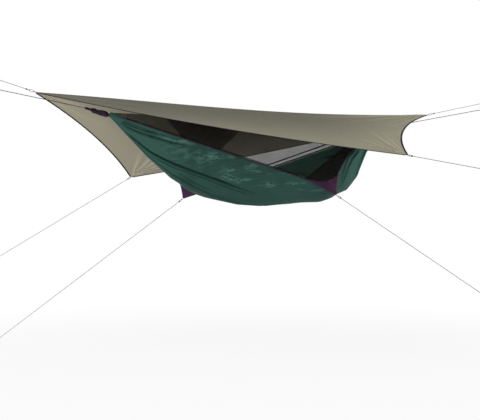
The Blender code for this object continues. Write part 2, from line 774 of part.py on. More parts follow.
def tie(heading_point, direction, sideways, eye_length, knot_length, knot_radius, cord_radius):
    """Places of one tied eye: the eye's path, the knot's start, and where the cord leaves."""
    knot_face = heading_point + direction * eye_length
    sunk = cord_radius * 2
    path = eye_path(knot_face + direction * sunk, -direction, sideways, eye_length + sunk,
                    cord_radius)
    leave = knot_face + direction * (knot_length + GAP)
    return path, knot_face, leave


def joined(base, piece, name, solver="EXACT"):
    """Joins a second piece on to the base, which keeps its name."""
    tool = meshed(piece)
    PARTS.objects.unlink(tool)
    CUTTERS.objects.link(tool)
    tool.hide_render = True
    tool.display_type = "WIRE"
    carry(base, tool)
    join = base.modifiers.new(name, "BOOLEAN")
    join.operation = "UNION"
    join.solver = solver
    join.object = tool


def tied_line(name, start, end, start_side, end_side, finish, radius=LINE_RADIUS,
              eyes=(EYE_LENGTH, EYE_LENGTH), knots=(KNOT_LENGTH, KNOT_RADIUS)):
    """A taut line with a knotted eye at each end; its ends are where the eyes' bights bear."""
    heading = (end - start).normalized()
    leaves = []
    for word, spot, direction, sideways, eye in (
            ("tie", start, heading, start_side, eyes[0]),
            ("end", end, -heading, end_side, eyes[1])):
        if not eye:
            leaves.append(spot + direction * GAP)
            continue
        level = (sideways - direction * sideways.dot(direction)).normalized()
        path, face, leave = tie(spot, direction, level, eye, knots[0], knots[1], radius)
        if eye == SUSPENSION_EYE_LENGTH:
            path = wide_eye_path(spot, direction, eye, radius)
        profile = knot_profile(knots[0], knots[1], radius * KNOT_HOLLOW_SHARE)
        knot = meshed(turned(f"{name}_{word}", profile, face, direction, finish, KNOT_SIDES))
        joined(knot, tube("eye", path, radius, finish, resolution=1), "eye")
        leaves.append(leave)
    route = [leaves[0].lerp(leaves[1], index / (LINE_POINTS - 1)) for index in range(LINE_POINTS)]
    tube(name, route, radius, finish)


def make_suspension(rope, webbing):
    for sign, word, anchor in ((-1, "left", LEFT_TIE), (1, "right", RIGHT_TIE)):
        outer = wrap_ends(sign)[1]
        tied_line(word + "_suspension_rope", anchor, outer, Vector((0, 0, 1)), Vector((0, 1, 0)),
                  rope, ROPE_RADIUS, (SUSPENSION_EYE_LENGTH, 0),
                  (SUSPENSION_KNOT_LENGTH, SUSPENSION_KNOT_RADIUS))
        make_sling(word + "_tree_sling", anchor, -sign, webbing)


def sling_line(offset):
    """The sling's line round the trunk and through the eye: away from the tree, across."""
    centre = TRUNK_RADIUS - SLING_REACH
    bearing = (TRUNK_RADIUS + offset) / math.cos(math.pi / TRUNK_FACETS / 2)
    line = []
    for index in range(TRUNK_FACETS + 1):
        turn = math.pi / 2 + math.pi * index / TRUNK_FACETS
        line.append((centre + bearing * math.cos(turn), bearing * math.sin(turn)))
    bight = ROPE_RADIUS + SLING_PLAY - SLING_BIGHT * math.cos(math.pi / BIGHT_FACETS / 2)
    for index in range(BIGHT_FACETS + 1):
        turn = -math.pi / 2 + math.pi * index / BIGHT_FACETS
        radius = SLING_BIGHT + offset
        line.append((bight + radius * math.cos(turn), radius * math.sin(turn)))
    return line


def make_sling(name, anchor, sign, webbing):
    """A webbing sling round the tree, whose bight goes through the rope's eye."""
    turned_frame = frame_matrix(anchor, Vector((sign, 0, 0)), Vector((0, sign, 0)),
                                Vector((0, 0, 1)))
    flat(name, sling_line(SLING_THICKNESS), SLING_WIDTH, webbing, turned_frame,
         hole=sling_line(0))


# Rain tarp

def tarp_corners():
    left = TARP_CENTRE + Vector((-HALF_TARP, 0, 0))
    right = TARP_CENTRE + Vector((HALF_TARP, 0, 0))
    near = TARP_CENTRE + Vector((TARP_CORNER_ALONG, -TARP_CORNER_ACROSS, -TARP_CORNER_DROP))
    far = TARP_CENTRE + Vector((-TARP_CORNER_ALONG, TARP_CORNER_ACROSS, -TARP_CORNER_DROP))
    return left, right, near, far


def ridge_point(x):
    share = ((x - TARP_CENTRE.x) / HALF_TARP + 1) / 2
    dip = math.sin(math.pi * min(max(share, 0), 1) ** RIDGE_SAG_SKEW)
    return Vector((x, 0, TARP_CENTRE.z - TARP_RIDGE_SAG * dip))


def hem_point(side, x):
    """The hem under a place on the ridge, on the near side (1) or the far side (-1)."""
    left, right, near, far = tarp_corners()
    start, corner, end = (left, near, right) if side > 0 else (right, far, left)
    share = (x - start.x) / (corner.x - start.x)
    if share <= 1:
        spot = start.lerp(corner, share)
        spot.z -= TARP_HEM_SAG * 4 * share * (1 - share)
    else:
        bow = TARP_NEAR_BOW if side > 0 else TARP_FAR_BOW
        square = (corner - start).cross(end - start)
        inward = (end - corner).cross(square).normalized()
        inward *= -1 if inward.dot(start - corner) < 0 else 1
        handle = corner.lerp(end, 1 / 2) + inward * bow * 2
        low, high = 0.0, 1.0
        for _ in range(30):
            middle = (low + high) / 2
            passed = (bend(corner, handle, end, middle).x - x) * side > 0
            low, high = (low, middle) if passed else (middle, high)
        spot = bend(corner, handle, end, low)
    if abs(spot.y) < TARP_TIP_WIDTH / 2:
        spot.y = -side * TARP_TIP_WIDTH / 2
    return spot


def tarp_stations():
    corner = TARP_CORNER_ALONG / HALF_TARP
    outward = (corner,) + TARP_OUTER_SHARES
    shares = [-share for share in outward[::-1]] + list(TARP_INNER_SHARES) + list(outward)
    return [TARP_CENTRE.x + HALF_TARP * share for share in shares]


def panel_row(side, x):
    """Points from the ridge to the hem, with the slight sag of the cloth between."""
    top, hem = ridge_point(x), hem_point(side, x)
    width = (hem - top).length / math.hypot(TARP_CORNER_ACROSS, TARP_CORNER_DROP)
    row = []
    for index in range(1, TARP_PANEL_POINTS + 1):
        share = index / TARP_PANEL_POINTS
        spot = top.lerp(hem, share)
        spot.z -= TARP_PANEL_SAG * width * 4 * share * (1 - share)
        row.append(spot)
    return row


def tarp_binding(name, hems, inners, finish):
    """Tape along a hem, lying edge to edge with the cloth."""
    rings = []
    for index, hem in enumerate(hems):
        before, after = hems[max(index - 1, 0)], hems[min(index + 1, len(hems) - 1)]
        heading = (after - before).normalized()
        outward = hem - inners[index]
        outward = (outward - heading * outward.dot(heading)).normalized()
        square = heading.cross(outward)
        near = hem + outward * TARP_SEAM_GAP
        far = near + outward * TARP_BINDING_WIDTH
        rise = square * TARP_BINDING_THICKNESS / 2
        rings.append([near - rise, far - rise / 2, far + rise / 2, near + rise])
    lofted(name, rings, finish)


def make_tarp(cloth, tape, cord, clear, line):
    stations = tarp_stations()
    rows = []
    for x in stations:
        near, far = panel_row(1, x), panel_row(-1, x)
        rows.append(near[::-1] + [ridge_point(x)] + far)
    sheet("tarp_canopy", rows, TARP_THICKNESS, cloth)

    left, right, near, far = tarp_corners()
    for side, word, corner in ((1, "near", near), (-1, "far", far)):
        edge = 0 if side > 0 else -1
        inner = 1 if side > 0 else -2
        hems = [row[edge] for row in rows]
        inners = [row[inner] for row in rows]
        turn = min(range(len(stations)), key=lambda index: abs(stations[index] - corner.x))
        words = ("long", "short") if side > 0 else ("short", "long")
        for kind, part, last, neighbour in ((words[0], slice(0, turn + 1), -1, -2),
                                            (words[1], slice(turn, None), 0, 1)):
            edge_line = [hem.copy() for hem in hems[part]]
            span = (edge_line[neighbour] - edge_line[last]).length
            bare = TARP_CORNER_BARE / span
            edge_line[last] = edge_line[last].lerp(edge_line[neighbour], bare)
            tarp_binding(f"tarp_{word}_{kind}_binding", edge_line, inners[part], tape)

    level = Vector((0, 1, 0))
    upright = Vector((0, 0, 1))
    for sign, word, tip, run, climb in ((-1, "left", left, LEFT_TARP_RUN, LEFT_TARP_CLIMB),
                                        (1, "right", right, RIGHT_TARP_RUN, RIGHT_TARP_CLIMB)):
        heading = Vector((sign * run, 0, climb)).normalized()
        start = tip + heading * (GAP + LOOP_RADIUS)
        bearing = link(word + "_ridge_loop", start, heading, level, LOOP_LENGTH, LOOP_WIDTH,
                       LOOP_RADIUS, cord)
        bearing -= heading * (LOOP_RADIUS + GAP + CLIP_RADIUS)
        clip_side = heading.cross(level)
        end = link(word + "_tarp_clip", bearing, heading, clip_side, CLIP_LENGTH, CLIP_WIDTH,
                   CLIP_RADIUS, clear)
        end -= heading * (CLIP_RADIUS + GAP + LINE_RADIUS)
        finish = tip + Vector((sign * run, 0, climb))
        tied_line(word + "_tarp_line", end, finish, level, upright, line)

    for word, corner, guy in (("near", near, NEAR_TARP_GUY), ("far", far, FAR_TARP_GUY)):
        heading = Vector(guy).normalized()
        start = corner + heading * (GAP + LOOP_RADIUS)
        sideways = heading.cross(upright).normalized()
        bearing = link(word + "_corner_loop", start, heading, sideways, LOOP_LENGTH, LOOP_WIDTH,
                       LOOP_RADIUS, cord)
        end = bearing - heading * (LOOP_RADIUS + GAP + LINE_RADIUS)
        tied_line(word + "_tarp_guy", end, corner + Vector(guy), sideways.cross(heading),
                  upright, line)


def make_hammock_guys(cord, line):
    upright = Vector((0, 0, 1))
    for side, word, guy in ((1, "near", NEAR_HAMMOCK_GUY), (-1, "far", FAR_HAMMOCK_GUY)):
        nose = pull_out_nose(side)
        corner = panel_point(side, nose.x, nose.y)
        heading = Vector(guy).normalized()
        sideways = heading.cross(upright).normalized()
        start = corner + heading * (GAP * 2 + LOOP_RADIUS)
        bearing = link(word + "_pull_loop", start, heading, sideways, LOOP_LENGTH, LOOP_WIDTH,
                       LOOP_RADIUS, cord)
        end = bearing - heading * (LOOP_RADIUS + GAP + LINE_RADIUS)
        tied_line(word + "_hammock_guy", end, corner + Vector(guy), sideways.cross(heading),
                  upright, line)


def build():
    green = material("green_fabric", (0.045, 0.155, 0.125), 0.6)
    olive = material("olive_tarp", (0.33, 0.31, 0.23), 0.62)
    net = material("black_net", (0.03, 0.03, 0.03), 0.8)
    purple = material("purple_fabric", (0.12, 0.035, 0.15), 0.6)
    tape = material("dark_purple_tape", (0.05, 0.02, 0.06), 0.7)
    black = material("black_webbing", (0.02, 0.02, 0.022), 0.75)
    rope = material("grey_green_rope", (0.16, 0.18, 0.17), 0.8)
    line = material("grey_line", (0.2, 0.2, 0.21), 0.8)
    cord = material("black_cord", (0.02, 0.02, 0.02), 0.8)
    metal = material("grey_metal", (0.3, 0.3, 0.31), 0.35, 1.0)
    clear = material("clear_plastic", (0.75, 0.78, 0.8), 0.25)

    make_tarp(olive, tape, cord, clear, line)
    make_body(green)
    make_nets(net, tape, purple)
    middle, axle = make_zip(tape, metal)
    make_ridgeline(cord, net)
    make_wraps(purple)
    make_suspension(rope, black)
    make_hammock_guys(cord, line)

    sway = hang("hammock_sway", LEFT_TIE, None, HAMMOCK_PIECES)
    hang("net_door_hinge", CENTRE, sway, ("near_net_door", "door_zip_tape"))
    zip_run = hang("zip_run", middle, sway, ("zip_slider",))
    hang("zip_pull_axle", axle, zip_run, ("zip_pull",))
    hang("pocket_run", CENTRE, sway, ("gear_pocket", "left_pocket_hanger", "right_pocket_hanger"))


build()
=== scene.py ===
import math
import bmesh
import bpy
from mathutils import Matrix, Vector, noise
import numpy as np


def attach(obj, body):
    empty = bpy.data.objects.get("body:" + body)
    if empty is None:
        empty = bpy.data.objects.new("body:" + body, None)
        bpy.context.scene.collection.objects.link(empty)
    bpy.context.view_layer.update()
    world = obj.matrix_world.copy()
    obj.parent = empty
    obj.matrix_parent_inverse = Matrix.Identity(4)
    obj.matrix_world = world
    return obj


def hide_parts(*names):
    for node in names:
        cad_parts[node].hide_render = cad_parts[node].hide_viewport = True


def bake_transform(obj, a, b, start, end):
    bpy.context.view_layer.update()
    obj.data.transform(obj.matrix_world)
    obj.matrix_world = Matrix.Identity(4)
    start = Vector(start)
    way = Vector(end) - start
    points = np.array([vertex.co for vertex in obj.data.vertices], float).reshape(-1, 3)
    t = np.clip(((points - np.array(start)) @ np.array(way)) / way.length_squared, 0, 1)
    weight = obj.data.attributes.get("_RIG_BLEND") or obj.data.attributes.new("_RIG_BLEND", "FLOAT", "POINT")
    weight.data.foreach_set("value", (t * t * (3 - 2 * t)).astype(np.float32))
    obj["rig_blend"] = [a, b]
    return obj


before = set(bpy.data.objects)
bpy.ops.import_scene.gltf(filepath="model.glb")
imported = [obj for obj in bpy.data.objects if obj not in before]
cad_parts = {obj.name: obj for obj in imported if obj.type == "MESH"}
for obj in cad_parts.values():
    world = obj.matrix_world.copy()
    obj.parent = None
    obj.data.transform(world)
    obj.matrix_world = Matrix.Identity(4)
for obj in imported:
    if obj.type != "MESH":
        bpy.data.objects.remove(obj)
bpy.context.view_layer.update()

# Places and sizes that several pieces share, in metres
up, level = Vector((0, 0, 1)), Vector((0, 1, 0))
gap = 0.0003
seam, pole = 1e-6, 1e-5  # the points of a seam or a pole are merged within this
webbingWidth = 0.038
ridgelineRadius = 0.0016
centre = Vector((2.705, 0, -0.166))  # the middle of the ridgeline
halfRidge = 1.37
leftTie, rightTie = Vector((0.3, 0, 0)), Vector((5.285, 0, 0.088))
tarpCentre = Vector((2.625, 0, -0.021))  # the middle of the tarp's ridge
halfTarp = 1.91
tarpOut, tarpDown, tarpSpan = 1.39, 0.59, 1.51  # to a corner: out, down, and along the cloth
tarpSlope = (0.92, 0.39)  # how far out and down a metre of panel goes
tarpCorner = Vector((0.85, -tarpOut, -tarpDown))  # the near one, from the ridge's middle

# The camera, at the photo's angle
view = {"place": (0.4095, -6.5679, -1.2623), "yaw": 0.3145, "pitch": 0.0372, "lens": 56.145}
lens = bpy.data.cameras.new("camera")
lens.lens, lens.sensor_width, lens.clip_end = view["lens"], 36, 200
lens.sensor_fit = "HORIZONTAL"
camera = bpy.data.objects.new("camera", lens)
camera.location = view["place"]
camera.rotation_euler = (math.pi / 2 + view["pitch"], 0, -view["yaw"])
bpy.context.scene.collection.objects.link(camera)
bpy.context.scene.camera = camera
print("camera set")


class Wire:  # one output socket, which takes + - * with numbers and other wires
    def __init__(self, shop, socket):
        self.shop, self.socket = shop, socket

    def maths(self, operation, *others, turned=False):
        values = (self, *others)[::-1 if turned else 1]
        return self.shop.node("ShaderNodeMath", {"operation": operation}, dict(enumerate(values)))

    def __add__(self, other):
        return self.maths("ADD", other)

    def __sub__(self, other):
        return self.maths("SUBTRACT", other)

    def __rsub__(self, other):
        return self.maths("SUBTRACT", other, turned=True)

    def __mul__(self, other):
        return self.maths("MULTIPLY", other)

    __radd__, __rmul__ = __add__, __mul__


class Shop:  # makes the nodes of one tree
    def __init__(self, tree):
        self.tree = tree
        tree.nodes.clear()

    def node(self, kind, settings=None, sockets=None, out=0):
        made = self.tree.nodes.new(kind)
        for word, value in (settings or {}).items():
            setattr(made, word, value)
        for word, value in (sockets or {}).items():
            if isinstance(value, Wire):
                self.tree.links.new(value.socket, made.inputs[word])
            else:
                made.inputs[word].default_value = value
        return Wire(self, made.outputs[out]) if made.outputs else None

    def coords(self, output):
        return self.node("ShaderNodeTexCoord", out={"normal": 1, "uv": 2, "object": 3}[output])

    def parts(self, vector):
        split = self.node("ShaderNodeSeparateXYZ", sockets={0: vector}).socket.node
        return [Wire(self, socket) for socket in split.outputs]

    def joined(self, *parts):
        return self.node("ShaderNodeCombineXYZ", sockets=dict(enumerate(parts)))

    def stretched(self, vector, scale):
        return self.node("ShaderNodeVectorMath", {"operation": "MULTIPLY"}, {0: vector, 1: scale})

    def noise(self, vector, scale, detail=3.0, roughness=0.55, distortion=0.0, kind="FBM"):
        return self.node("ShaderNodeTexNoise", {"noise_type": kind},
                         {"Vector": vector, "Scale": scale, "Detail": detail,
                          "Roughness": roughness, "Distortion": distortion})

    def ridges(self, vector, *numbers):
        return self.noise(vector, *numbers, kind="RIDGED_MULTIFRACTAL")

    def mix(self, share, low, high):
        return self.node("ShaderNodeMix", {"data_type": "RGBA"}, {0: share, 6: low, 7: high}, 2)

    def ranged(self, value, low, high, bottom=0.0, top=1.0):
        return self.node("ShaderNodeMapRange", {"interpolation_type": "SMOOTHSTEP"},
                         {0: value, 1: low, 2: high, 3: bottom, 4: top})

    def pulse(self, value, period, width):  # 1 on thin lines, one to each period
        wave = value.maths("PINGPONG", period / 2)
        return self.ranged(wave, width * 0.6, width * 0.3)


class Finish(Shop):  # a material with one Principled shader
    def __init__(self, name, slot):
        self.material = bpy.data.materials.new(name)
        self.material.use_nodes = True
        self.slot = slot
        super().__init__(self.material.node_tree)

    def shade(self, **constants):
        made = self.node("ShaderNodeBsdfPrincipled", sockets={
            word.replace("_", " "): value for word, value in constants.items()})
        self.node("ShaderNodeOutputMaterial", sockets={0: made})
        return self

    def bumped(self, height, distance, strength=1.0, under=None):
        sockets = {"Height": height, "Distance": distance, "Strength": strength}
        if under:
            sockets["Normal"] = under
        return self.node("ShaderNodeBump", sockets=sockets)

    def foldShadeAndHighlight(self):  # up to 1 deep in a fold and down to -1 on a ridge; it carries painted shade and painted highlight
        return self.node("ShaderNodeAttribute", {"attribute_name": "foldShadeAndHighlight"}, out=2)

    def toned(self, scale, dark, light):  # a colour that drifts slowly over the piece
        tone = self.noise(self.coords("object"), scale)
        return self.mix(self.ranged(tone, 0.3, 0.7), dark, light)


def colour(red, green, blue):
    return (red, green, blue, 1.0)


# Lines shared by the pieces

# the two panels that hang from the ridgeline: how far out and down their corner is; along them
# the long rim's end, the tip and the patch's top; how far down the near and far long rims end;
# the handles of the bowed lines, as shares; and how far the patch's nose stands out
panel = {"out": 0.507, "down": 0.709, "rimEnd": 0.32, "nearFall": 0.692, "farFall": 0.765,
         "tip": 0.571, "patchTop": 0.655, "shortBow": (0.15, 0.395), "patchBow": (0.765, 0.5),
         "patchSteps": 16, "nose": 0.012}
# the wrapped ends: their length, how far below the ridgeline they start, and for each side the
# rise from the ridgeline to the tie and the run of the rope to it
ends = {"length": 0.205, "below": 0.022, "left": (0.166, 0.83), "right": (0.254, 1.005)}


def bend(start, handle, end, share):
    return start.lerp(handle, share).lerp(handle.lerp(end, share), share)


def towards(start, end, distance):
    return start.lerp(end, distance / (end - start).length)


def readAt(line, along):
    for (low, lowValue), (high, highValue) in zip(line, line[1:]):
        if along <= high:
            return lowValue + (highValue - lowValue) * (along - low) / (high - low)
    return line[-1][1]


def eased(value, low, high):
    share = max(0.0, min(1.0, (value - low) / (high - low)))
    return share * share * (3 - 2 * share)


def lineLength(path, closed=False):
    following = path[1:] + path[:1] if closed else path[1:]
    return sum((end - start).length for start, end in zip(path, following))


def pointAt(path, share):
    left = lineLength(path) * share
    for start, end in zip(path, path[1:]):
        step = (end - start).length
        if left <= step:
            return start.lerp(end, left / step if step else 0)
        left -= step
    return path[-1]


def offsetLine(line, distance):
    moved = []
    for index, point in enumerate(line):
        heading = (line[min(index + 1, len(line) - 1)] - line[max(index - 1, 0)]).normalized()
        moved.append(point + Vector((-heading.y, heading.x)) * distance)
    return moved


def smoothPath(points, steps):
    # a rounded path through the points
    path, last = [], len(points) - 1
    for index in range(last):
        p = [points[min(max(index + n, 0), last)] for n in (-1, 0, 1, 2)]
        for step in range(steps):
            t = step / steps
            path.append(((p[1] * 2) + (p[2] - p[0]) * t
                         + (p[0] * 2 - p[1] * 5 + p[2] * 4 - p[3]) * t * t
                         + (p[1] * 3 - p[0] - p[2] * 3 + p[3]) * t * t * t) / 2)
    return path + [points[-1]]


def panelAxes(side):
    along = Vector((side, 0, 0))
    fall = Vector((0, -side * panel["out"], -panel["down"])).normalized()
    return along, fall, along.cross(fall)


def panelPoint(side, along, fall, inward=0.0):
    x, y, z = panelAxes(side)
    return centre + x * along + y * fall + z * inward


def rimLines(side):
    # the straight long rim and the bowed short rim
    corner = Vector((panel["rimEnd"], panel["nearFall"] if side > 0 else panel["farFall"]))
    tip = Vector((panel["tip"], math.hypot(panel["out"], panel["down"])))
    foot = Vector((halfRidge, 0))
    over, down = panel["shortBow"]
    handle = Vector((tip.x + (foot.x - tip.x) * over, tip.y * down))
    return [Vector((-halfRidge, 0)), corner], [bend(tip, handle, foot, n / 32) for n in range(33)]


def patchEdge(side):
    corner, short = rimLines(side)[0][1], rimLines(side)[1]
    tip, top = short[0], Vector((panel["patchTop"], readAt(short, panel["patchTop"])))
    over, down = panel["patchBow"]
    handle = Vector((corner.x + (tip.x - corner.x) * over, corner.y + (tip.y - corner.y) * down))
    steps = panel["patchSteps"]
    return [bend(corner, handle, top, n / steps) for n in range(steps + 1)]


def pullOutNose(side):
    tip, middle = rimLines(side)[1][0], patchEdge(side)[panel["patchSteps"] // 2]
    return tip + (tip - middle).normalized() * panel["nose"]


def wrapEnds(sign):
    rise, run = ends["left"] if sign < 0 else ends["right"]
    length = ends["length"]
    return (centre + Vector((sign * halfRidge, 0, -ends["below"])),
            centre + Vector((sign * (halfRidge + length), 0, rise * length / (length + run))))


# Mesh tools

def newMesh():
    shape = bmesh.new()
    shape.loops.layers.uv.new("UVMap")
    # this attribute carries painted shade in folds and painted highlight on ridges
    shape.verts.layers.float.new("foldShadeAndHighlight")
    return shape


def addGrid(shape, columns, rows, place, size, merge=0.0):
    # a grid moved by place(u, v), which may also give how creased it is, as painted shade and highlight; UV
    # in metres, by size
    layer = shape.loops.layers.uv.active
    creases = shape.verts.layers.float["foldShadeAndHighlight"]
    made = bmesh.ops.create_grid(shape, x_segments=columns, y_segments=rows, size=1,
                                 calc_uvs=True)["verts"]
    for vertex in made:
        u, v = (vertex.co.x + 1) / 2, (vertex.co.y + 1) / 2
        placed = place(round(u * columns) / columns, round(v * rows) / rows)
        vertex.co, vertex[creases] = placed if isinstance(placed, tuple) else (placed, 0.0)
    for face in {face for vertex in made for face in vertex.link_faces}:
        for loop in face.loops:
            loop[layer].uv = (loop[layer].uv.x * size[0], loop[layer].uv.y * size[1])
    if merge:
        bmesh.ops.remove_doubles(shape, verts=made, dist=merge)


def capEnds(shape, before=()):
    rim = [edge for edge in shape.edges if edge.is_boundary and edge.verts[0] not in before]
    bmesh.ops.holes_fill(shape, edges=rim, sides=0)


def headings(path, closed=False):
    count = len(path)
    found = []
    for index in range(count):
        before = path[index - 1] if closed or index else path[0]
        after = path[(index + 1) % count] if closed or index < count - 1 else path[-1]
        found.append((after - before).normalized())
    return found


def acrosses(path, closed=False, across=None):
    # two directions square to the path at each point, given or carried along without twist
    tangents = headings(path, closed)
    found = []
    current = tangents[0].orthogonal() if across is None else None
    for index, tangent in enumerate(tangents):
        if across is not None:
            current = across[index] if isinstance(across, list) else across
        current = (current - tangent * current.dot(tangent)).normalized()
        found.append((current, tangent.cross(current)))
    if closed and across is None:  # spread the leftover twist
        first, last = found[0][0], (found[-1][0] - tangents[0] * found[-1][0].dot(tangents[0]))
        twist = math.atan2(last.normalized().cross(first).dot(tangents[0]), last.dot(first))
        for index, (one, other) in enumerate(found):
            turn = Matrix.Rotation(twist * index / len(path), 3, tangents[index])
            found[index] = (turn @ one, turn @ other)
    return found


def ringed(axes, turn):
    return axes[0] * math.cos(turn) + axes[1] * math.sin(turn)


def coiled(axes, start, end, turns, steps, radius, swell=0.0):
    # turns of cord round the line from start to end, wider in the middle by the swell
    path = []
    for index in range(turns * steps + 1):
        share = index / (turns * steps)
        wide = radius * (1 - swell + swell * math.sin(math.pi * share))
        path.append(start.lerp(end, share) + ringed(axes, math.tau * turns * share) * wide)
    return path


def addSweep(shape, path, section, closed=False, across=None, scale=None):
    # the outline (across, out) drawn along the path; scale(v) widens it
    columns, rows = len(section), len(path) if closed else len(path) - 1
    frames = acrosses(path, closed, across)
    ring = section + section[:1]
    girth = lineLength([Vector(spot) for spot in section], True)
    before = set(shape.verts)

    def place(u, v):
        row = round(v * rows) % len(path)
        wide, out = ring[round(u * columns)]
        grow = scale(v) if scale else 1.0
        side, rise = frames[row]
        return path[row] + side * wide * grow + rise * out * grow

    addGrid(shape, columns, rows, place, (girth, lineLength(path, closed)), seam)
    if not closed:
        capEnds(shape, before)


def roundSection(radius, sides=8):
    return [(radius * math.cos(math.tau * n / sides), radius * math.sin(math.tau * n / sides))
            for n in range(sides)]


def strapSection(width, thickness):
    wide, tall, cut = width / 2, thickness / 2, min(width, thickness) * 0.3
    return [(-wide, -tall + cut), (-wide + cut, -tall), (wide - cut, -tall), (wide, -tall + cut),
            (wide, tall - cut), (wide - cut, tall), (-wide + cut, tall), (-wide, tall - cut)]


def settle(shape, name, finish, body, solid=0.0):
    # turns the shape into a finished piece, which stands for the solid of its name
    bmesh.ops.recalc_face_normals(shape, faces=list(shape.faces))
    for face in shape.faces:
        face.smooth = True
    mesh = bpy.data.meshes.new(name)
    shape.to_mesh(mesh)
    shape.free()
    piece = bpy.data.objects.new(name, mesh)
    bpy.context.scene.collection.objects.link(piece)
    mesh.materials.append(finish.material)
    if solid:
        wall = piece.modifiers.new("cloth", "SOLIDIFY")
        wall.thickness, wall.offset, wall.use_even_offset = solid, 0.0, False
    if body:
        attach(piece, body)
    node = "".join("_" + letter.lower() if letter.isupper() else letter for letter in name)
    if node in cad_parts:
        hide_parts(node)
    return piece


def sweptPiece(name, finish, body, path, section, closed=False, across=None, scale=None):
    shape = newMesh()
    addSweep(shape, path, section, closed, across, scale)
    return settle(shape, name, finish, body)


def gridPiece(name, finish, body, columns, rows, place, size, solid=0.0, merge=0.0):
    shape = newMesh()
    addGrid(shape, columns, rows, place, size, merge)
    if not solid:
        capEnds(shape)
    return settle(shape, name, finish, body, solid)


# Finishes

def wovenCord(name, slot, light, dark, radius):
    # braided cord: strands crossing both ways round it
    finish = Finish(name, slot)
    u, v, _ = finish.parts(finish.coords("uv"))
    girth = math.tau * radius
    around, along = u * (4 * math.tau / girth), v * (math.tau / (radius * 3.2))
    one, other = (around + along).maths("SINE"), (around - along).maths("SINE")
    strand = finish.ranged(one * other, -0.8, 0.8)
    soil = finish.noise(finish.coords("object"), 9.0)
    base = finish.mix(strand, dark, light)
    base = finish.mix(finish.ranged(soil, 0.35, 0.7, 0.0, 0.35), base, dark)
    return finish.shade(Base_Color=base, Roughness=finish.ranged(strand, 0, 1, 0.9, 0.7),
                        Specular_IOR_Level=0.2, Normal=finish.bumped(strand, radius * 0.25))


def tapeFinish(name, slot, light, dark, thread, width, rows):
    # woven tape: ribs across it, and stitch rows a set way from its middle
    finish = Finish(name, slot)
    u, v, _ = finish.parts(finish.coords("uv"))
    ribs = finish.ranged((v * (math.tau / 0.0011)).maths("SINE"), -1, 1)
    speckle = finish.noise(finish.coords("object"), 420.0, 2.0)
    worn = finish.noise(finish.coords("object"), 6.0, 4.0)
    base = finish.mix(ribs * 0.5 + speckle * 0.4, dark, light)
    base = finish.mix(finish.ranged(worn, 0.4, 0.75, 0.0, 0.3), base, light)
    reach = (u - (0.0005 + width / 2)).maths("PINGPONG", width / 2 + 0.001)
    row = finish.ranged((reach - rows).maths("ABSOLUTE"), 0.0011, 0.0005)
    stitch = row * finish.pulse(v, 0.0042, 0.0034)
    height = ribs * 0.35 + speckle * 0.2 + stitch * 1.2 - row * 0.5
    return finish.shade(Base_Color=finish.mix(stitch, base, thread), Roughness=0.75,
                        Specular_IOR_Level=0.08, Normal=finish.bumped(height, 0.0004))


def weave(finish, metres):
    # ripstop squares and small puckers of thin coated nylon
    u, v, _ = finish.parts(metres)
    grid = finish.pulse(u, 0.0055, 0.0012).maths("MAXIMUM", finish.pulse(v, 0.0055, 0.0012))
    return u, v, grid, finish.noise(metres, 38.0, 3.0, 0.6, 1.2)


def sewn(finish, base, grid, pucker, bump, roughness, crinkle, shine=0.2):
    # closes a cloth: its puckers and squares over the bump of its folds
    bump = finish.bumped(pucker, crinkle, 0.8, bump)
    bump = finish.bumped(grid, 0.00012, 0.6, bump)
    rough = finish.ranged(pucker, 0.3, 0.7, roughness - 0.06, roughness + 0.06)
    return finish.shade(Base_Color=base, Normal=bump, Roughness=rough, Specular_IOR_Level=shine)


def fan(finish, along, fall, spot, pitch, reach):
    # fine creases that run out from a corner of a tarp panel
    x, y = along - spot[0], fall - spot[1]
    far = (x * x + y * y).maths("SQRT")
    ray = finish.joined(y.maths("ARCTAN2", x) * pitch, far * 1.3, spot[0])
    foldShadeAndHighlight = finish.ridges(ray, 1.0, 2.0, 0.5, 0.25)
    return foldShadeAndHighlight * finish.ranged(far, 0.02, 0.1) * finish.ranged(far, reach, reach * 0.25)


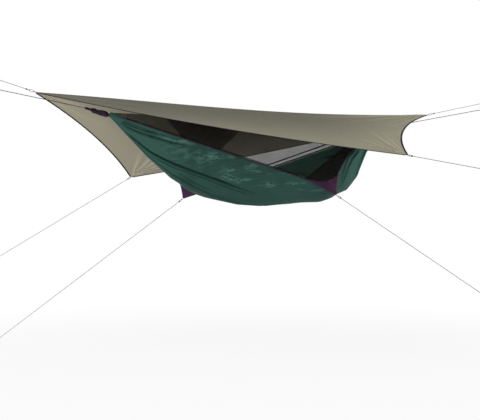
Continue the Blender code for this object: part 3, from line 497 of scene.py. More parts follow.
def tarpFinish():
    finish = Finish("oliveCloth", "olive_tarp")
    metres = finish.coords("uv")
    *_, grid, pucker = weave(finish, metres)
    light = colour(0.30, 0.285, 0.195)
    base = finish.toned(2.2, colour(0.27, 0.257, 0.177), light)
    # painted shade: each panel is darker by the ridge and away from its own corner
    x, y, z = finish.parts(finish.coords("object"))
    along = (x - tarpCentre.x) * y.maths("SIGN") * -1.0
    fall = y.maths("ABSOLUTE") * tarpSlope[0] - (z - tarpCentre.z) * tarpSlope[1]
    dark = 1.0 - finish.ranged(along, 0.3, 2.0, 0.0, 0.8) - finish.ranged(fall, 0.1, 1.2, 0.0, 0.6)
    base = finish.mix(dark.maths("MAXIMUM", 0.0), base, colour(0.085, 0.081, 0.056))
    # painted light: its underside is paler, as light comes through the cloth, and the painted highlight on
    # the creases' crests is paler there too
    top = finish.ranged(finish.parts(finish.coords("normal"))[2], -0.05, 0.05)
    base = finish.mix(top, colour(0.49, 0.45, 0.335), base)
    crestHighlight = finish.mix(top, colour(0.95, 0.9, 0.68), colour(0.58, 0.545, 0.41))
    # painted shade in the creases' valleys and painted highlight on their crests
    foldShadeAndHighlight = finish.foldShadeAndHighlight()
    base = finish.mix(foldShadeAndHighlight.maths("MAXIMUM", 0.0) * 0.5, base, colour(0.10, 0.095, 0.066))
    base = finish.mix((foldShadeAndHighlight * -1.0).maths("MAXIMUM", 0.0) * 0.45, base, crestHighlight)
    rays = (fan(finish, along, fall, (tarpCorner.x, tarpSpan), 9.0, 0.75)
            + fan(finish, along, fall, (halfTarp, 0.0), 13.0, 1.0)
            + fan(finish, along, fall, (-halfTarp, 0.0), 13.0, 0.9))
    # the fine creases from the corners also get a painted highlight along them
    base = finish.mix(rays * 0.12, base, colour(0.42, 0.395, 0.29))
    base = finish.mix(grid * 0.14, base, light)
    slack = finish.ridges(finish.stretched(metres, (0.7, 1.0, 1.0)), 1.6, 4.0, 0.55, 0.6)
    bump = finish.bumped(rays, 0.009, 1.0, finish.bumped(slack, 0.0035, 0.9))
    return sewn(finish, base, grid, pucker, bump, 0.66, 0.0008)


def bedFinish():
    finish = Finish("greenCloth", "green_fabric")
    metres = finish.coords("uv")
    u, v, grid, pucker = weave(finish, metres)
    light = colour(0.032, 0.092, 0.074)
    base = finish.toned(2.2, colour(0.023, 0.07, 0.055), light)
    # both ends are painted paler, as painted light
    paler = finish.ranged(u, 0.75, 0.3, 0.0, 0.5) + finish.ranged(u, 2.05, 2.4, 0.0, 0.95)
    base = finish.mix(paler, base, colour(0.07, 0.185, 0.15))
    # light comes through the thin cloth, so its inner side is paler
    outward = finish.parts(finish.coords("normal"))[1]
    inside = finish.ranged((v - 1.0).maths("SIGN") * outward, -0.02, -0.3)
    base = finish.mix(inside, base, colour(0.1, 0.36, 0.29))
    # wrinkles pulled slantwise from the zip, on the near side
    slant = finish.joined(u * 9.0 + v * 18.0, u * 3.6 - v * 1.8)
    wrinkle = finish.ridges(slant, 1.0, 4.0, 0.6, 0.7)
    zone = (finish.ranged(v, 0.48, 0.3) * finish.ranged(u, 0.1, 0.5)
            * finish.ranged(u, 1.95, 1.55) * 0.85 + 0.15)
    speckle = finish.ridges(metres, 26.0, 4.0, 0.65, 2.0)
    # thin light and dark lines, in slanting patches, where the puckers catch the light
    across, down = u * 0.5 + v * 0.87, u * 0.87 - v * 0.5
    glint = shade = 0.0
    for pitch, share in ((26.0, 1.0), (52.0, 0.8)):
        spot = finish.joined(across * pitch, down * (pitch * 0.22), pitch)
        edge = finish.noise(spot, 1.0, 2.0, 0.5, 0.6)
        glint = glint + finish.ranged((edge - 0.5).maths("ABSOLUTE"), 0.045, 0.008) * share
        shade = shade + finish.ranged((edge - 0.4).maths("ABSOLUTE"), 0.05, 0.01) * share
    spot = finish.joined(across * 10.0, down * 3.6, 4.0)
    patches = (finish.ranged(finish.noise(spot, 1.0, 2.0), 0.48, 0.62)
               * finish.ranged(zone, 0.2, 0.9))
    base = finish.mix(shade * patches * 0.45, base, colour(0.012, 0.04, 0.032))
    base = finish.mix(glint * patches * 0.75, base, colour(0.10, 0.235, 0.195))
    base = finish.mix(grid * 0.12, base, light)
    # painted shade in the folds and painted highlight on the puckers
    foldShadeAndHighlight = finish.foldShadeAndHighlight()
    base = finish.mix(foldShadeAndHighlight.maths("MAXIMUM", 0.0) * 0.9, base, colour(0.004, 0.016, 0.013))
    base = finish.mix(finish.ranged(foldShadeAndHighlight * -1.0, 0.1, 0.8, 0.0, 0.35), base,
                      colour(0.095, 0.225, 0.187))
    # the far inner wall at the foot end is painted near black, as painted shade
    footShade = (finish.ranged(u - (v - 1.7) * 1.577, 1.91, 1.97) * finish.ranged(v, 0.95, 1.05)
             * finish.ranged(outward, 0.02, -0.1))
    base = finish.mix(footShade * 0.92, base, colour(0.004, 0.005, 0.005))
    slack = finish.ridges(finish.stretched(metres, (1.0, 0.4, 1.0)), 5.0, 4.0, 0.55, 1.4)
    bump = finish.bumped(wrinkle * zone, 0.011, 0.9, finish.bumped(slack, 0.006, 0.9))
    bump = finish.bumped(speckle * zone, 0.0035, 0.9, bump)
    return sewn(finish, base, grid, pucker, bump, 0.5, 0.0016, 0.08)


def purpleFinish(name, light, dark):
    finish = Finish(name, "purple_fabric")
    metres = finish.coords("uv")
    *_, grid, pucker = weave(finish, metres)
    base = finish.mix(grid * 0.16, finish.toned(9.0, dark, light), light)
    # painted shade in the hollows of the wrap's twists
    base = finish.mix(finish.foldShadeAndHighlight() * 0.85, base, colour(0.008, 0.004, 0.012))
    bump = finish.bumped(finish.ridges(metres, 22.0, 4.0, 0.55, 0.8), 0.0016, 0.9)
    return sewn(finish, base, grid, pucker, bump, 0.5, 0.0008)


def netFinish(name, thread, cover, cell):
    # fine net: round holes in a close thread, seen through by its mean cover
    finish = Finish(name, "black_net")
    metres = finish.coords("uv")
    u, v, _ = finish.parts(metres)
    holes = finish.ranged((u * (math.tau / cell)).maths("SINE")
                          * (v * (math.tau / cell)).maths("SINE"), -0.6, 0.6)
    slack = finish.noise(finish.stretched(metres, (1.0, 0.35, 1.0)), 7.0)
    alpha = cover + (holes - 0.5) * 0.24 + (slack - 0.5) * 0.1
    lint = finish.mix(slack, thread, colour(*(part * 1.7 for part in thread[:3])))
    return finish.shade(Base_Color=lint, Alpha=alpha, Roughness=0.8, Specular_IOR_Level=0.2,
                        Normal=finish.bumped(slack, 0.004))


olive = tarpFinish()
green = bedFinish()
purple = purpleFinish("purpleCloth", colour(0.08, 0.029, 0.086), colour(0.049, 0.02, 0.054))
wrapCloth = purpleFinish("wrapCloth", colour(0.04, 0.013, 0.044), colour(0.02, 0.008, 0.023))
net = netFinish("blackNet", colour(0.014, 0.013, 0.0125), 0.355, 0.0016)
pocketNet = netFinish("pocketNet", colour(0.008, 0.0075, 0.007), 0.52, 0.0021)
tape = tapeFinish("purpleTape", "purple_tape", colour(0.03, 0.011, 0.036),
                  colour(0.01, 0.004, 0.014), colour(0.07, 0.035, 0.08), 0.016, 0.0048)
hemTape = tapeFinish("hemTape", "purple_tape", colour(0.022, 0.009, 0.026),
                     colour(0.008, 0.0035, 0.01), colour(0.055, 0.03, 0.06), 0.018, 0.006)
greenTape = tapeFinish("greenTape", "purple_tape", colour(0.045, 0.1, 0.084),
                       colour(0.026, 0.064, 0.053), colour(0.08, 0.14, 0.12), 0.016, 0.0048)
webbing = tapeFinish("blackWebbing", "black_webbing", colour(0.034, 0.034, 0.036),
                     colour(0.009, 0.009, 0.01), colour(0.09, 0.09, 0.09), webbingWidth, 0.014)
rope = wovenCord("greyGreenRope", "grey_green_rope", colour(0.075, 0.088, 0.082),
                 colour(0.022, 0.026, 0.024), 0.003)
line, cord = (wovenCord(name, slot, colour(0.03, 0.03, 0.032), colour(0.008, 0.008, 0.009), 0.002)
              for name, slot in (("greyLine", "grey_line"), ("blackCord", "black_cord")))
print("finishes made")

# Cords and their ties

ties = {"rope": {"radius": 0.003, "eye": 0.075, "knot": 0.032, "knotRadius": 0.011},
        "line": {"radius": 0.002, "eye": 0.022, "knot": 0.014, "knotRadius": 0.0065},
        "loop": {"radius": 0.002, "length": 0.024, "width": 0.0128},
        "clip": {"radius": 0.0022, "length": 0.042}, "eyeWidth": 0.0042, "shoulder": 0.008}


def addKnot(shape, start, direction, length, radius, thick):
    # turns of the cord laid close round the standing part
    axes = acrosses([start, start + direction])[0]
    path = coiled(axes, start + direction * thick, start + direction * (length - thick),
                  max(3, round(length / (thick * 2.05))), 10, radius - thick, 0.14)
    addSweep(shape, path, roundSection(thick, 7))
    core = [start + direction * (length * n / 4) for n in range(5)]
    addSweep(shape, core, roundSection((radius - thick) * 0.8))


def addEye(shape, face, heading, sideways, length, radius):
    path = []
    for share in (index / 32 for index in range(33)):
        turn = math.tau * share
        spread = ties["eyeWidth"] * math.sin(turn) + radius * 1.1 * math.cos(math.pi * share)
        path.append(face + heading * length * (1 - math.cos(turn)) / 2 + sideways * spread)
    addSweep(shape, path, roundSection(radius))


def addWideEye(shape, bight, direction, length, radius):
    # an eye whose straight bight takes the sling's webbing
    bow, half = ties["shoulder"], webbingWidth / 2
    turns = [math.pi / 2 * index / 6 for index in range(7)]
    spots = [(bow * (1 - math.cos(turn)), half + bow * math.sin(turn)) for turn in turns]
    spots += [(length * 0.35, (half + bow) * 0.85), (length * 0.65, (half + bow) * 0.4),
              (length + radius * 2, radius * 1.4)]
    outward = Vector((math.copysign(1, direction.x), 0, 0))
    path = []
    for run, rise in spots[::-1] + [(run, -rise) for run, rise in spots]:
        heading = outward.lerp(direction, min(run / length, 1) ** 2)
        path.append(bight + heading * run + up * rise)
    addSweep(shape, smoothPath(path, 3), roundSection(radius, 10))


def tiedLine(name, start, end, startSide, finish, body, size):
    # a taut cord with a knotted eye at each end, or only at the tree where it is a rope;
    # one without a body bends from the hammock to its peg
    heading, radius, big = (end - start).normalized(), size["radius"], finish is rope
    leaves, pieces = [], []
    for word, spot, direction, side in (("Tie", start, heading, startSide),
                                        ("End", end, -heading, up)):
        if big and word == "End":
            leaves.append(spot + direction * gap)
            continue
        face = spot + direction * size["eye"]
        shape = newMesh()
        if big:
            addWideEye(shape, spot, direction, size["eye"], radius)
        else:
            sideways = (side - direction * side.dot(direction)).normalized()
            addEye(shape, face + direction * radius * 2, -direction, sideways,
                   size["eye"] + radius * 2, radius)
        addKnot(shape, face, direction, size["knot"], size["knotRadius"], radius)
        pieces.append(settle(shape, name + word, finish, body))
        leaves.append(face + direction * (size["knot"] + gap))
    route = [leaves[0].lerp(leaves[1], n / 19) for n in range(20)]
    piece = sweptPiece(name, finish, body, route, roundSection(radius, 10))
    if not body:
        for each in [piece] + pieces:
            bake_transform(each, "hammock", "root", start, start.lerp(end, 0.9))
    lineLength(route)
    radius * 2


def sewnLoop(name, corner, heading, sideways, body):
    # a loop of cord with two round ends, sewn on at a corner; gives where a line bears on it
    radius, width = ties["loop"]["radius"], ties["loop"]["width"]
    start = corner + heading * (radius + gap * (2 if "Pull" in name else 1))
    bow, long = width / 2 - radius, ties["loop"]["length"] - radius * 2
    path = []
    for run, first in ((bow, math.pi / 2), (long - bow, -math.pi / 2)):
        path += [start + heading * run + ringed((heading, sideways), turn) * bow
                 for turn in (first + math.pi * index / 11 for index in range(12))]
    sweptPiece(name, cord, body, path, roundSection(radius), True)
    return start + heading * long


for sign, word, anchor in ((-1, "left", leftTie), (1, "right", rightTie)):
    tiedLine(word + "SuspensionRope", anchor, wrapEnds(sign)[1], up, rope, "hammock",
             ties["rope"])

tips = {"left": tarpCentre - Vector((halfTarp, 0, 0)),
        "right": tarpCentre + Vector((halfTarp, 0, 0)),
        "near": tarpCentre + tarpCorner,
        "far": tarpCentre + Vector((-tarpCorner.x, -tarpCorner.y, tarpCorner.z))}
noses = [panelPoint(side, *pullOutNose(side)) for side in (1, -1)]
# each line starts in a loop or, on the ridge, in the clip on the loop; it runs on past the view
for loop, name, corner, run in (
        ("leftRidgeLoop", "leftTarpLine", tips["left"], (-0.36, 0, 0.103)),
        ("rightRidgeLoop", "rightTarpLine", tips["right"], (0.69, 0, 0.162)),
        ("nearCornerLoop", "nearTarpGuy", tips["near"], (0.345, -0.575, -0.161)),
        ("farCornerLoop", "farTarpGuy", tips["far"], (-1.37, 1.37, -0.897)),
        ("nearPullLoop", "nearHammockGuy", noses[0], (0.9, -0.905, -0.858)),
        ("farPullLoop", "farHammockGuy", noses[1], (-1.72, 1.72, -1.53))):
    heading, clipped, pegged = Vector(run).normalized(), "Ridge" in loop, "Pull" in loop
    sideways = level if clipped else heading.cross(up).normalized()
    bearing = sewnLoop(loop, corner, heading, sideways, "hammock" if pegged else "root")
    holder = ties["loop"]["radius"]
    if clipped:
        clip = ties["clip"]
        bearing += heading * (clip["length"] - clip["radius"] * 3 - gap - holder)
        holder = clip["radius"]
    tiedLine(name, bearing - heading * (holder + gap + ties["line"]["radius"]),
             corner + Vector(run), level if clipped else sideways.cross(heading), line,
             None if pegged else "root", ties["line"])
print("cords and ties made")

# Tree slings

sling = {"trunk": 0.09, "leg": 0.12, "bight": 0.01, "play": 0.0006, "thickness": 0.0022,
         "trunkFacets": 9, "bightFacets": 7}


def slingPath(anchor, sign):
    # round the trunk, out along both legs and through the rope's eye
    half = (sling["thickness"] + gap) / 2
    back = -(sling["trunk"] + sling["leg"])
    wide = (sling["trunk"] + half) / math.cos(math.pi / sling["trunkFacets"] / 2)
    flat = math.cos(math.pi / sling["bightFacets"] / 2)
    bight = ties["rope"]["radius"] + sling["play"] - sling["bight"] * flat
    small = sling["bight"] + half

    def arc(middle, radius, first, count):
        return [(middle + radius * math.cos(turn), radius * math.sin(turn))
                for turn in (first + math.pi * n / count for n in range(count + 1))]

    def leg(start, end, low, high):
        return [(start + (end - start) * n / 6, low + (high - low) * n / 6) for n in range(1, 6)]

    points = (arc(back, wide, math.pi / 2, 36) + leg(back, bight, -wide, -small)
              + arc(bight, small, -math.pi / 2, 14) + leg(bight, back, small, wide))
    return [anchor + Vector((sign * x, sign * y, 0)) for x, y in points]


for sign, word, anchor in ((1, "left", leftTie), (-1, "right", rightTie)):
    sweptPiece(word + "TreeSling", webbing, "root", slingPath(anchor, sign),
               strapSection(webbingWidth, sling["thickness"]), True, up)
print("slings made")

# Rain tarp

tarp = {"ridgeSag": 0.052, "sagSkew": 1.35, "hemSag": 0.035, "nearBow": 0.138, "farBow": 0.083,
        "panelSag": 0.025, "tip": 0.024, "columns": (80, 84, 80), "rows": 188,
        "thickness": 0.0012, "binding": 0.016, "bindingThickness": 0.0026,
        "bindingReach": 0.0147, "bindingEnd": 0.009,
        # creases by panel and corner: bearing and half width in degrees, depth, length
        "creases": {
            (1, "near"): [
                (61, 1.3, 0.010, 0.36), (66, 1.2, 0.015, 0.46), (71, 1.2, 0.010, 0.34),
                (77, 1.3, 0.012, 0.42), (83, 1.3, 0.014, 0.5), (91, 1.4, 0.009, 0.38),
                (101, 1.5, 0.011, 0.44), (113, 1.6, 0.007, 0.36), (127, 1.6, 0.007, 0.34),
                (140, 1.6, 0.006, 0.3)],
            (1, "right"): [
                (226, 1.8, 0.008, 0.36), (218, 1.8, 0.012, 0.46), (208, 2.0, 0.009, 0.4),
                (197, 1.8, 0.010, 0.55), (187, 1.6, 0.009, 0.8)],
            (1, "left"): [(349, 1.8, 0.003, 0.6), (340, 1.8, 0.003, 0.5)],
            (-1, "far"): [
                (295, 2.2, 0.024, 0.7), (305, 2.0, 0.024, 0.6), (314, 1.8, 0.018, 0.55),
                (284, 2.0, 0.010, 0.6), (270, 2.2, 0.009, 0.5)],
            (-1, "left"): [(12, 1.8, 0.004, 0.7), (24, 2.0, 0.004, 0.6), (38, 2.0, 0.003, 0.5)],
            (-1, "right"): [(158, 1.8, 0.007, 0.6), (169, 1.8, 0.006, 0.7)]}}


def ridgePoint(x):
    share = ((x - tarpCentre.x) / halfTarp + 1) / 2
    dip = math.sin(math.pi * min(max(share, 0), 1) ** tarp["sagSkew"])
    return Vector((x, 0, tarpCentre.z - tarp["ridgeSag"] * dip))


def hemPoint(side, x):
    # each panel has a sagging long hem and a bowed short one
    start, corner, end = (tips[word] for word in (
        ("left", "near", "right") if side > 0 else ("right", "far", "left")))
    share = (x - start.x) / (corner.x - start.x)
    if share <= 1.000001:
        spot = start.lerp(corner, min(share, 1))
        spot.z -= tarp["hemSag"] * 4 * share * (1 - min(share, 1))
    else:
        square = (corner - start).cross(end - start)
        inward = (end - corner).cross(square).normalized()
        inward *= -1 if inward.dot(start - corner) < 0 else 1
        bow = tarp["nearBow"] if side > 0 else tarp["farBow"]
        handle = corner.lerp(end, 1 / 2) + inward * bow * 2
        low, high = 0.0, 1.0
        for _ in range(24):
            middle = (low + high) / 2
            passed = (bend(corner, handle, end, middle).x - x) * side > 0
            low, high = (low, middle) if passed else (middle, high)
        spot = bend(corner, handle, end, low)
    if abs(spot.y) < tarp["tip"] / 2:
        spot.y = -side * tarp["tip"] / 2
    return spot


def creaseDepth(side, spot):
    # how far the creases that fan from the corners lift the cloth here
    slant = Vector((0, -side * tarpOut, -tarpDown)).normalized()

    def laidFlat(point):
        return Vector((point.x - tarpCentre.x, -side * (point - tarpCentre).dot(slant)))

    depth = 0.0
    for (own, corner), rows in tarp["creases"].items():
        away = laidFlat(spot) - laidFlat(tips[corner])
        far = away.length
        if own != side or far < 1e-4:
            continue
        turn = math.degrees(math.atan2(away.y, away.x))
        for bearing, width, tall, length in rows:
            off = (turn - bearing + 180) % 360 - 180
            wide = width * (1 + 0.25 / (far + 0.2))
            rise = (1 - math.exp(-far / 0.07)) * math.exp(-(far / length) ** 2)
            depth += tall * rise * (math.exp(-(off / wide) ** 2) - 0.45 * math.exp(
                -((off - wide * 1.8) / wide) ** 2))
    return depth


def tarpPoint(u, v):
    x = stations[round(u * (len(stations) - 1))]
    side = 1 if v <= 0.5 else -1
    share = abs(v - 0.5) * 2
    top, hem = ridges[x], hems[side, x]
    spot = top.lerp(hem, share)
    width = (hem - top).length / math.hypot(tarpOut, tarpDown)
    spot.z -= tarp["panelSag"] * width * 4 * share * (1 - share)
    fade = min(1, share / 0.1) * min(1, (1 - share) / 0.04 + 0.15)
    lift = creaseDepth(side, spot) * fade
    normal = Vector((0, -side * tarpSlope[1], tarpSlope[0]))
    # the creases' lift also sets their painted shade and painted highlight
    return spot + normal * lift, max(-1, min(1, -lift / 0.008))


bounds = [tips[word].x for word in ("left", "far", "near", "right")]
stations = []
for start, end, count in zip(bounds, bounds[1:], tarp["columns"]):
    stations += [start + (end - start) * n / count for n in range(count)]
stations.append(bounds[-1])
ridges = {x: ridgePoint(x) for x in stations}
hems = {(side, x): hemPoint(side, x) for x in stations for side in (1, -1)}
canopy = gridPiece("tarpCanopy", olive, "root", len(stations) - 1, tarp["rows"], tarpPoint,
                   (3.82, 3.02), tarp["thickness"])

for side, word in ((1, "Near"), (-1, "Far")):
    turn = sum(tarp["columns"][:2 if side > 0 else 1])  # the column of this panel's corner
    kinds = ("Long", "Short") if side > 0 else ("Short", "Long")
    for kind, span, last, neighbour in ((kinds[0], stations[:turn + 1], -1, -2),
                                        (kinds[1], stations[turn:], 0, 1)):
        edge = [hems[side, x].copy() for x in span]
        inner = [ridges[x].lerp(hems[side, x], 0.9) for x in span]
        edge[last] = towards(edge[last], edge[neighbour], tarp["bindingEnd"])
        outs = [(hem - inside - tangent * (hem - inside).dot(tangent)).normalized()
                for tangent, hem, inside in zip(headings(edge), edge, inner)]
        reach = tarp["bindingReach"] - tarp["binding"] / 2
        sweptPiece(f"tarp{word}{kind}Binding", hemTape, "root",
                   [hem + out * reach for hem, out in zip(edge, outs)],
                   strapSection(tarp["binding"], tarp["bindingThickness"]), False, outs)
print("tarp made")

# Sleeping fabric

belly = {"drop": 0.803, "overlap": 0.008, "binding": 0.003, "tape": 0.001, "cloth": 0.002,
         "reach": 0.024, "columns": 226, "rows": 208, "thickness": 0.0012, "floor": 0.011,
         "end": 0.996,
         "shares": [(-1.0, 0.03), (-0.89, 0.222), (-0.74, 0.471), (-0.58, 0.69), (-0.42, 0.83),
                    (-0.3, 0.907), (-0.12, 0.978), (0.03, 0.996), (0.12, 0.977), (0.235, 0.961),
                    (0.42, 0.95), (0.52, 0.901), (0.58, 0.849), (0.66, 0.797), (0.74, 0.645),
                    (0.82, 0.352), (0.89, 0.19), (1.0, 0.03)],
         # the main folds: half width, depth, and their line as (station, share across)
         "folds": [
             (0.012, 0.020, [
                 (-0.9, 0.385), (-0.866, 0.36), (-0.797, 0.325), (-0.728, 0.305), (-0.658, 0.275),
                 (-0.589, 0.245), (-0.511, 0.235), (-0.398, 0.222), (-0.294, 0.222),
                 (-0.199, 0.238), (-0.095, 0.255), (0.017, 0.295)]),
             (0.009, 0.013, [
                 (-0.76, 0.375), (-0.658, 0.322), (-0.589, 0.287), (-0.511, 0.262), (-0.39, 0.246),
                 (-0.294, 0.252), (-0.191, 0.27), (-0.087, 0.283), (0.0, 0.32)]),
             (0.011, 0.016, [
                 (-0.85, 0.44), (-0.779, 0.437), (-0.702, 0.43), (-0.624, 0.405), (-0.528, 0.388),
                 (-0.416, 0.39), (-0.312, 0.4), (-0.208, 0.415), (-0.08, 0.44), (0.05, 0.46)]),
             (0.008, 0.009, [(-0.56, 0.33), (-0.46, 0.342), (-0.39, 0.345), (-0.26, 0.355)]),
             (0.009, 0.012, [
                 (-0.98, 0.05), (-0.94, 0.05), (-0.866, 0.045), (-0.797, 0.045), (-0.71, 0.035),
                 (-0.64, 0.02)]),
             (0.009, 0.014, [
                 (-0.985, 0.13), (-0.961, 0.14), (-0.883, 0.095), (-0.814, 0.08), (-0.745, 0.055),
                 (-0.68, 0.045)]),
             (0.010, 0.016, [
                 (-0.93, 0.19), (-0.88, 0.165), (-0.831, 0.135), (-0.762, 0.1), (-0.702, 0.082),
                 (-0.624, 0.065), (-0.546, 0.05), (-0.459, 0.03)]),
             (0.012, 0.02, [
                 (0.7, 0.01), (0.676, 0.015), (0.615, 0.02), (0.585, 0.05), (0.56, 0.11),
                 (0.545, 0.2)]),
             (0.013, 0.024, [
                 (0.74, 0.06), (0.7, 0.062), (0.65, 0.075), (0.615, 0.125), (0.589, 0.185),
                 (0.57, 0.26)]),
             (0.014, 0.026, [
                 (0.8, 0.15), (0.788, 0.18), (0.745, 0.21), (0.719, 0.27), (0.715, 0.36),
                 (0.7, 0.44)]),
             (0.012, 0.012, [(0.02, 0.42), (0.12, 0.44), (0.2, 0.45), (0.3, 0.47)])],
         "farFolds": (0, 1, 2, 6, 7, 8)}  # those that the far side repeats the other way round


def bedEdge(side):
    longRim, short = rimLines(side)
    edge = offsetLine(longRim, belly["overlap"])
    edge += offsetLine(patchEdge(side), belly["overlap"])[1:-1]
    return edge + [point for point in short if point.x > panel["patchTop"] + belly["overlap"]]


def bedRim(side, along):
    fall = max(readAt(bedEdges[side], along), belly["reach"])
    before = belly["tape"] if side > 0 and along < panel["rimEnd"] else belly["binding"]
    return panelPoint(side, along, fall, before / 2 + gap + belly["cloth"] / 2)


def bedSection(along):
    # the near rim, the far rim and the lowest point
    near, far = bedRim(1, along), bedRim(-1, -along)
    floor = centre.z - belly["drop"] * readAt(belly["shares"], along / halfRidge)
    floor = min(floor, near.z - belly["floor"], far.z - belly["floor"])
    return near, far, Vector((near.x, (near.y + far.y) / 2, floor))


def bellyPoint(near, far, low, share):
    rim = near if share < 1 / 2 else far
    turn = math.pi * min(share, 1 - share)
    rise = rim.y + (low.y - rim.y) * (1 - math.cos(turn))
    return Vector((low.x, rise, rim.z + (low.z - rim.z) * math.sin(turn)))


def nearestOn(course, here, girth):
    # the signed distance to a fold's line, and the share of its length there
    best, sign, run = 9.0, 1, 0.0
    for index, (start, end) in enumerate(zip(course, course[1:])):
        start = Vector((start[0] * halfRidge, start[1] * girth))
        step = Vector((end[0] * halfRidge, end[1] * girth)) - start
        share = max(0, min(1, (here - start).dot(step) / step.length_squared))
        off = here - start - step * share
        if off.length < best:
            best, run = off.length, (index + share) / (len(course) - 1)
            sign = 1 if step.x * off.y > step.y * off.x else -1
    return best * sign, run


def puckers(station, share, girth):
    # short slantwise puckers that hang from each long rim, from 0 to about 1
    if share > 1 / 2:
        station, share = -station, 1 - share
    reach = eased(station, -0.95, -0.72) * eased(station, 0.55, 0.25) * eased(share, 0.25, 0.1)
    if not reach:
        return 0.0
    x, y = station * halfRidge, share * girth
    patches = 0.25 + 0.75 * eased(noise.noise(Vector((x * 3.6, y * 7.0, 7.7))), -0.2, 0.2)
    height = 0.0
    for pitch, size in ((19, 1.0), (37, 0.45)):
        spot = Vector((x * 0.5 + y * 0.87, (x * 0.87 - y * 0.5) * 0.28, 1.0)) * pitch
        height += size * max(0.0, 1 - abs(noise.noise(spot)) * 3.4) ** 2
    return reach * patches * height


def foldDepth(station, share, girth):
    # how far the folds lift the cloth here, and how much painted shade it gets in the folds and pleats, less
    # the painted highlight on the puckers
    here = Vector((station * halfRidge, share * girth))
    lift = shade = 0.0
    for width, tall, course, box in folds:
        if not (box[0] < station < box[1] and box[2] < share < box[3]):
            continue
        off, run = nearestOn(course, here, girth)
        fade = min(1, run / 0.12) * min(1, (1 - run) / 0.25)
        off /= width
        valley = math.exp(-off * off)
        lift -= tall * fade * (valley - 0.6 * math.exp(-(off - 1.7) ** 2)
                               - 0.35 * math.exp(-(off + 1.7) ** 2))
        shade = max(shade, fade * tall / 0.016 * math.exp(-(off / 0.62) ** 2))
    # fine pleats near the gathers, broad waves between them, and the rims' puckers
    pleats = (max(0, abs(station) - 0.62) / 0.38) ** 1.5
    wave = math.sin(math.tau * 9 * share + 1.5 * station)
    lift += 0.0045 * pleats * wave
    shade = max(shade, 0.5 * pleats * max(0, -wave - 0.5))
    lift += 0.0035 * math.sin(math.tau * 3 * share + 3 * station) * (1 - abs(station) ** 4)
    pucker = puckers(station, share, girth)
    lift += 0.0075 * pucker
    edge = min(1, share / 0.02) * min(1, (1 - share) / 0.02)
    return lift * edge, (min(1, shade) - min(1, pucker) * 0.8) * min(1, edge * 1.6)


def bedPoint(u, v):
    near, far, low = sections[round(u * belly["columns"])]
    spot = bellyPoint(near, far, low, v)
    run = (bellyPoint(near, far, low, min(v + 0.01, 1))
           - bellyPoint(near, far, low, max(v - 0.01, 0)))
    outward = Vector((0, run.z, -run.y)).normalized()
    size = min(1, 0.25 + (near - low).length * 2.2)
    girth = ((near - low).length + (far - low).length) * 1.1
    lift, foldShadeAndHighlight = foldDepth(belly["end"] * (2 * u - 1), v, girth)
    return spot + outward * lift * size, foldShadeAndHighlight


folds = []
for number, (width, tall, course) in enumerate(belly["folds"]):
    courses = [course]
    if number in belly["farFolds"]:
        courses.append([(-station, 1 - share) for station, share in course])
    for each in courses:
        runs, shares = zip(*each)
        folds.append((width, tall, each, (min(runs) - 0.05, max(runs) + 0.05,
                                          min(shares) - 0.09, max(shares) + 0.09)))
bedEdges = {side: bedEdge(side) for side in (1, -1)}
sections = [bedSection(belly["end"] * (2 * n / belly["columns"] - 1) * halfRidge)
            for n in range(belly["columns"] + 1)]
bed = gridPiece("hammockBody", green, "hammock", belly["columns"], belly["rows"], bedPoint,
                (2.74, 2.0), belly["thickness"])
print("sleeping fabric made")

# Nets

rims = {"width": 0.016, "thickness": 0.0026, "zipTape": 0.012, "gussetEnd": 0.1,
        "doorStart": 0.157, "foot": 0.02, "farStart": 0.06, "farEnd": 0.016}
edging = {"start": 0.16, "end": 0.1, "inset": 0.045, "width": 0.014, "thickness": 0.0016,
          "inward": 0.0014}  # the tape sewn on the far net
nets = {"thickness": 0.0008, "sag": 0.006, "end": 0.04, "top": 0.0019, "depth": 0.87}
nearLong, farLong = rimLines(1)[0], rimLines(-1)[0]
slope, farSlope = ((rim[1] - rim[0]).normalized() for rim in (nearLong, farLong))
doorStart = (nearLong[0] + slope * rims["doorStart"]).x
besideRim = rims["width"] / 2 + gap


def netPiece(name, side, lower, start, end, body, columns=150, rows=40):
    # between the ridgeline and the lower line; both ends are square to the ridgeline
    def place(u, v):
        along = start + (end - start) * u
        fall = nets["top"] + (readAt(lower, along) - nets["top"]) * v
        pull = math.sin(math.pi * u) * math.sin(math.pi * v)
        wave = 0.0012 * math.sin(along * 31 + v * 5) * (1 - v) * min(1, v * 12)
        return panelPoint(side, along, fall, nets["sag"] * pull + wave)

    return gridPiece(name, net, body, columns, rows, place, (end - start, nets["depth"]),
                     nets["thickness"])


def netLower(side, inset):
    longRim, short = rimLines(side)
    edge = offsetLine(longRim, -inset)
    lower = [edge[0], towards(edge[1], edge[0], inset)]
    lower += [point for point in offsetLine(patchEdge(side), -gap)[1:-1]
              if point.x > lower[-1].x + gap]
    return lower + [point for point in offsetLine(short, -besideRim)
                    if point.x > panel["patchTop"] - gap]


left, right = nets["end"] - halfRidge, halfRidge - nets["end"]
door = netPiece("nearNetDoor", 1, netLower(1, rims["zipTape"] + gap), doorStart + 0.001, right,
                "net_door")
foot = nearLong[0] + slope * rims["gussetEnd"]
gussetLower = [nearLong[0] + Vector((0, 0.004)), foot + Vector((0, 0.004)),
               foot + Vector((0.006, -0.007)), offsetLine(nearLong, -0.0064)[1]]
gusset = netPiece("nearNetGusset", 1, gussetLower, left, doorStart - 0.001, "hammock", 24, 6)
farNet = netPiece("farNet", -1, netLower(-1, besideRim), left, right, "hammock")

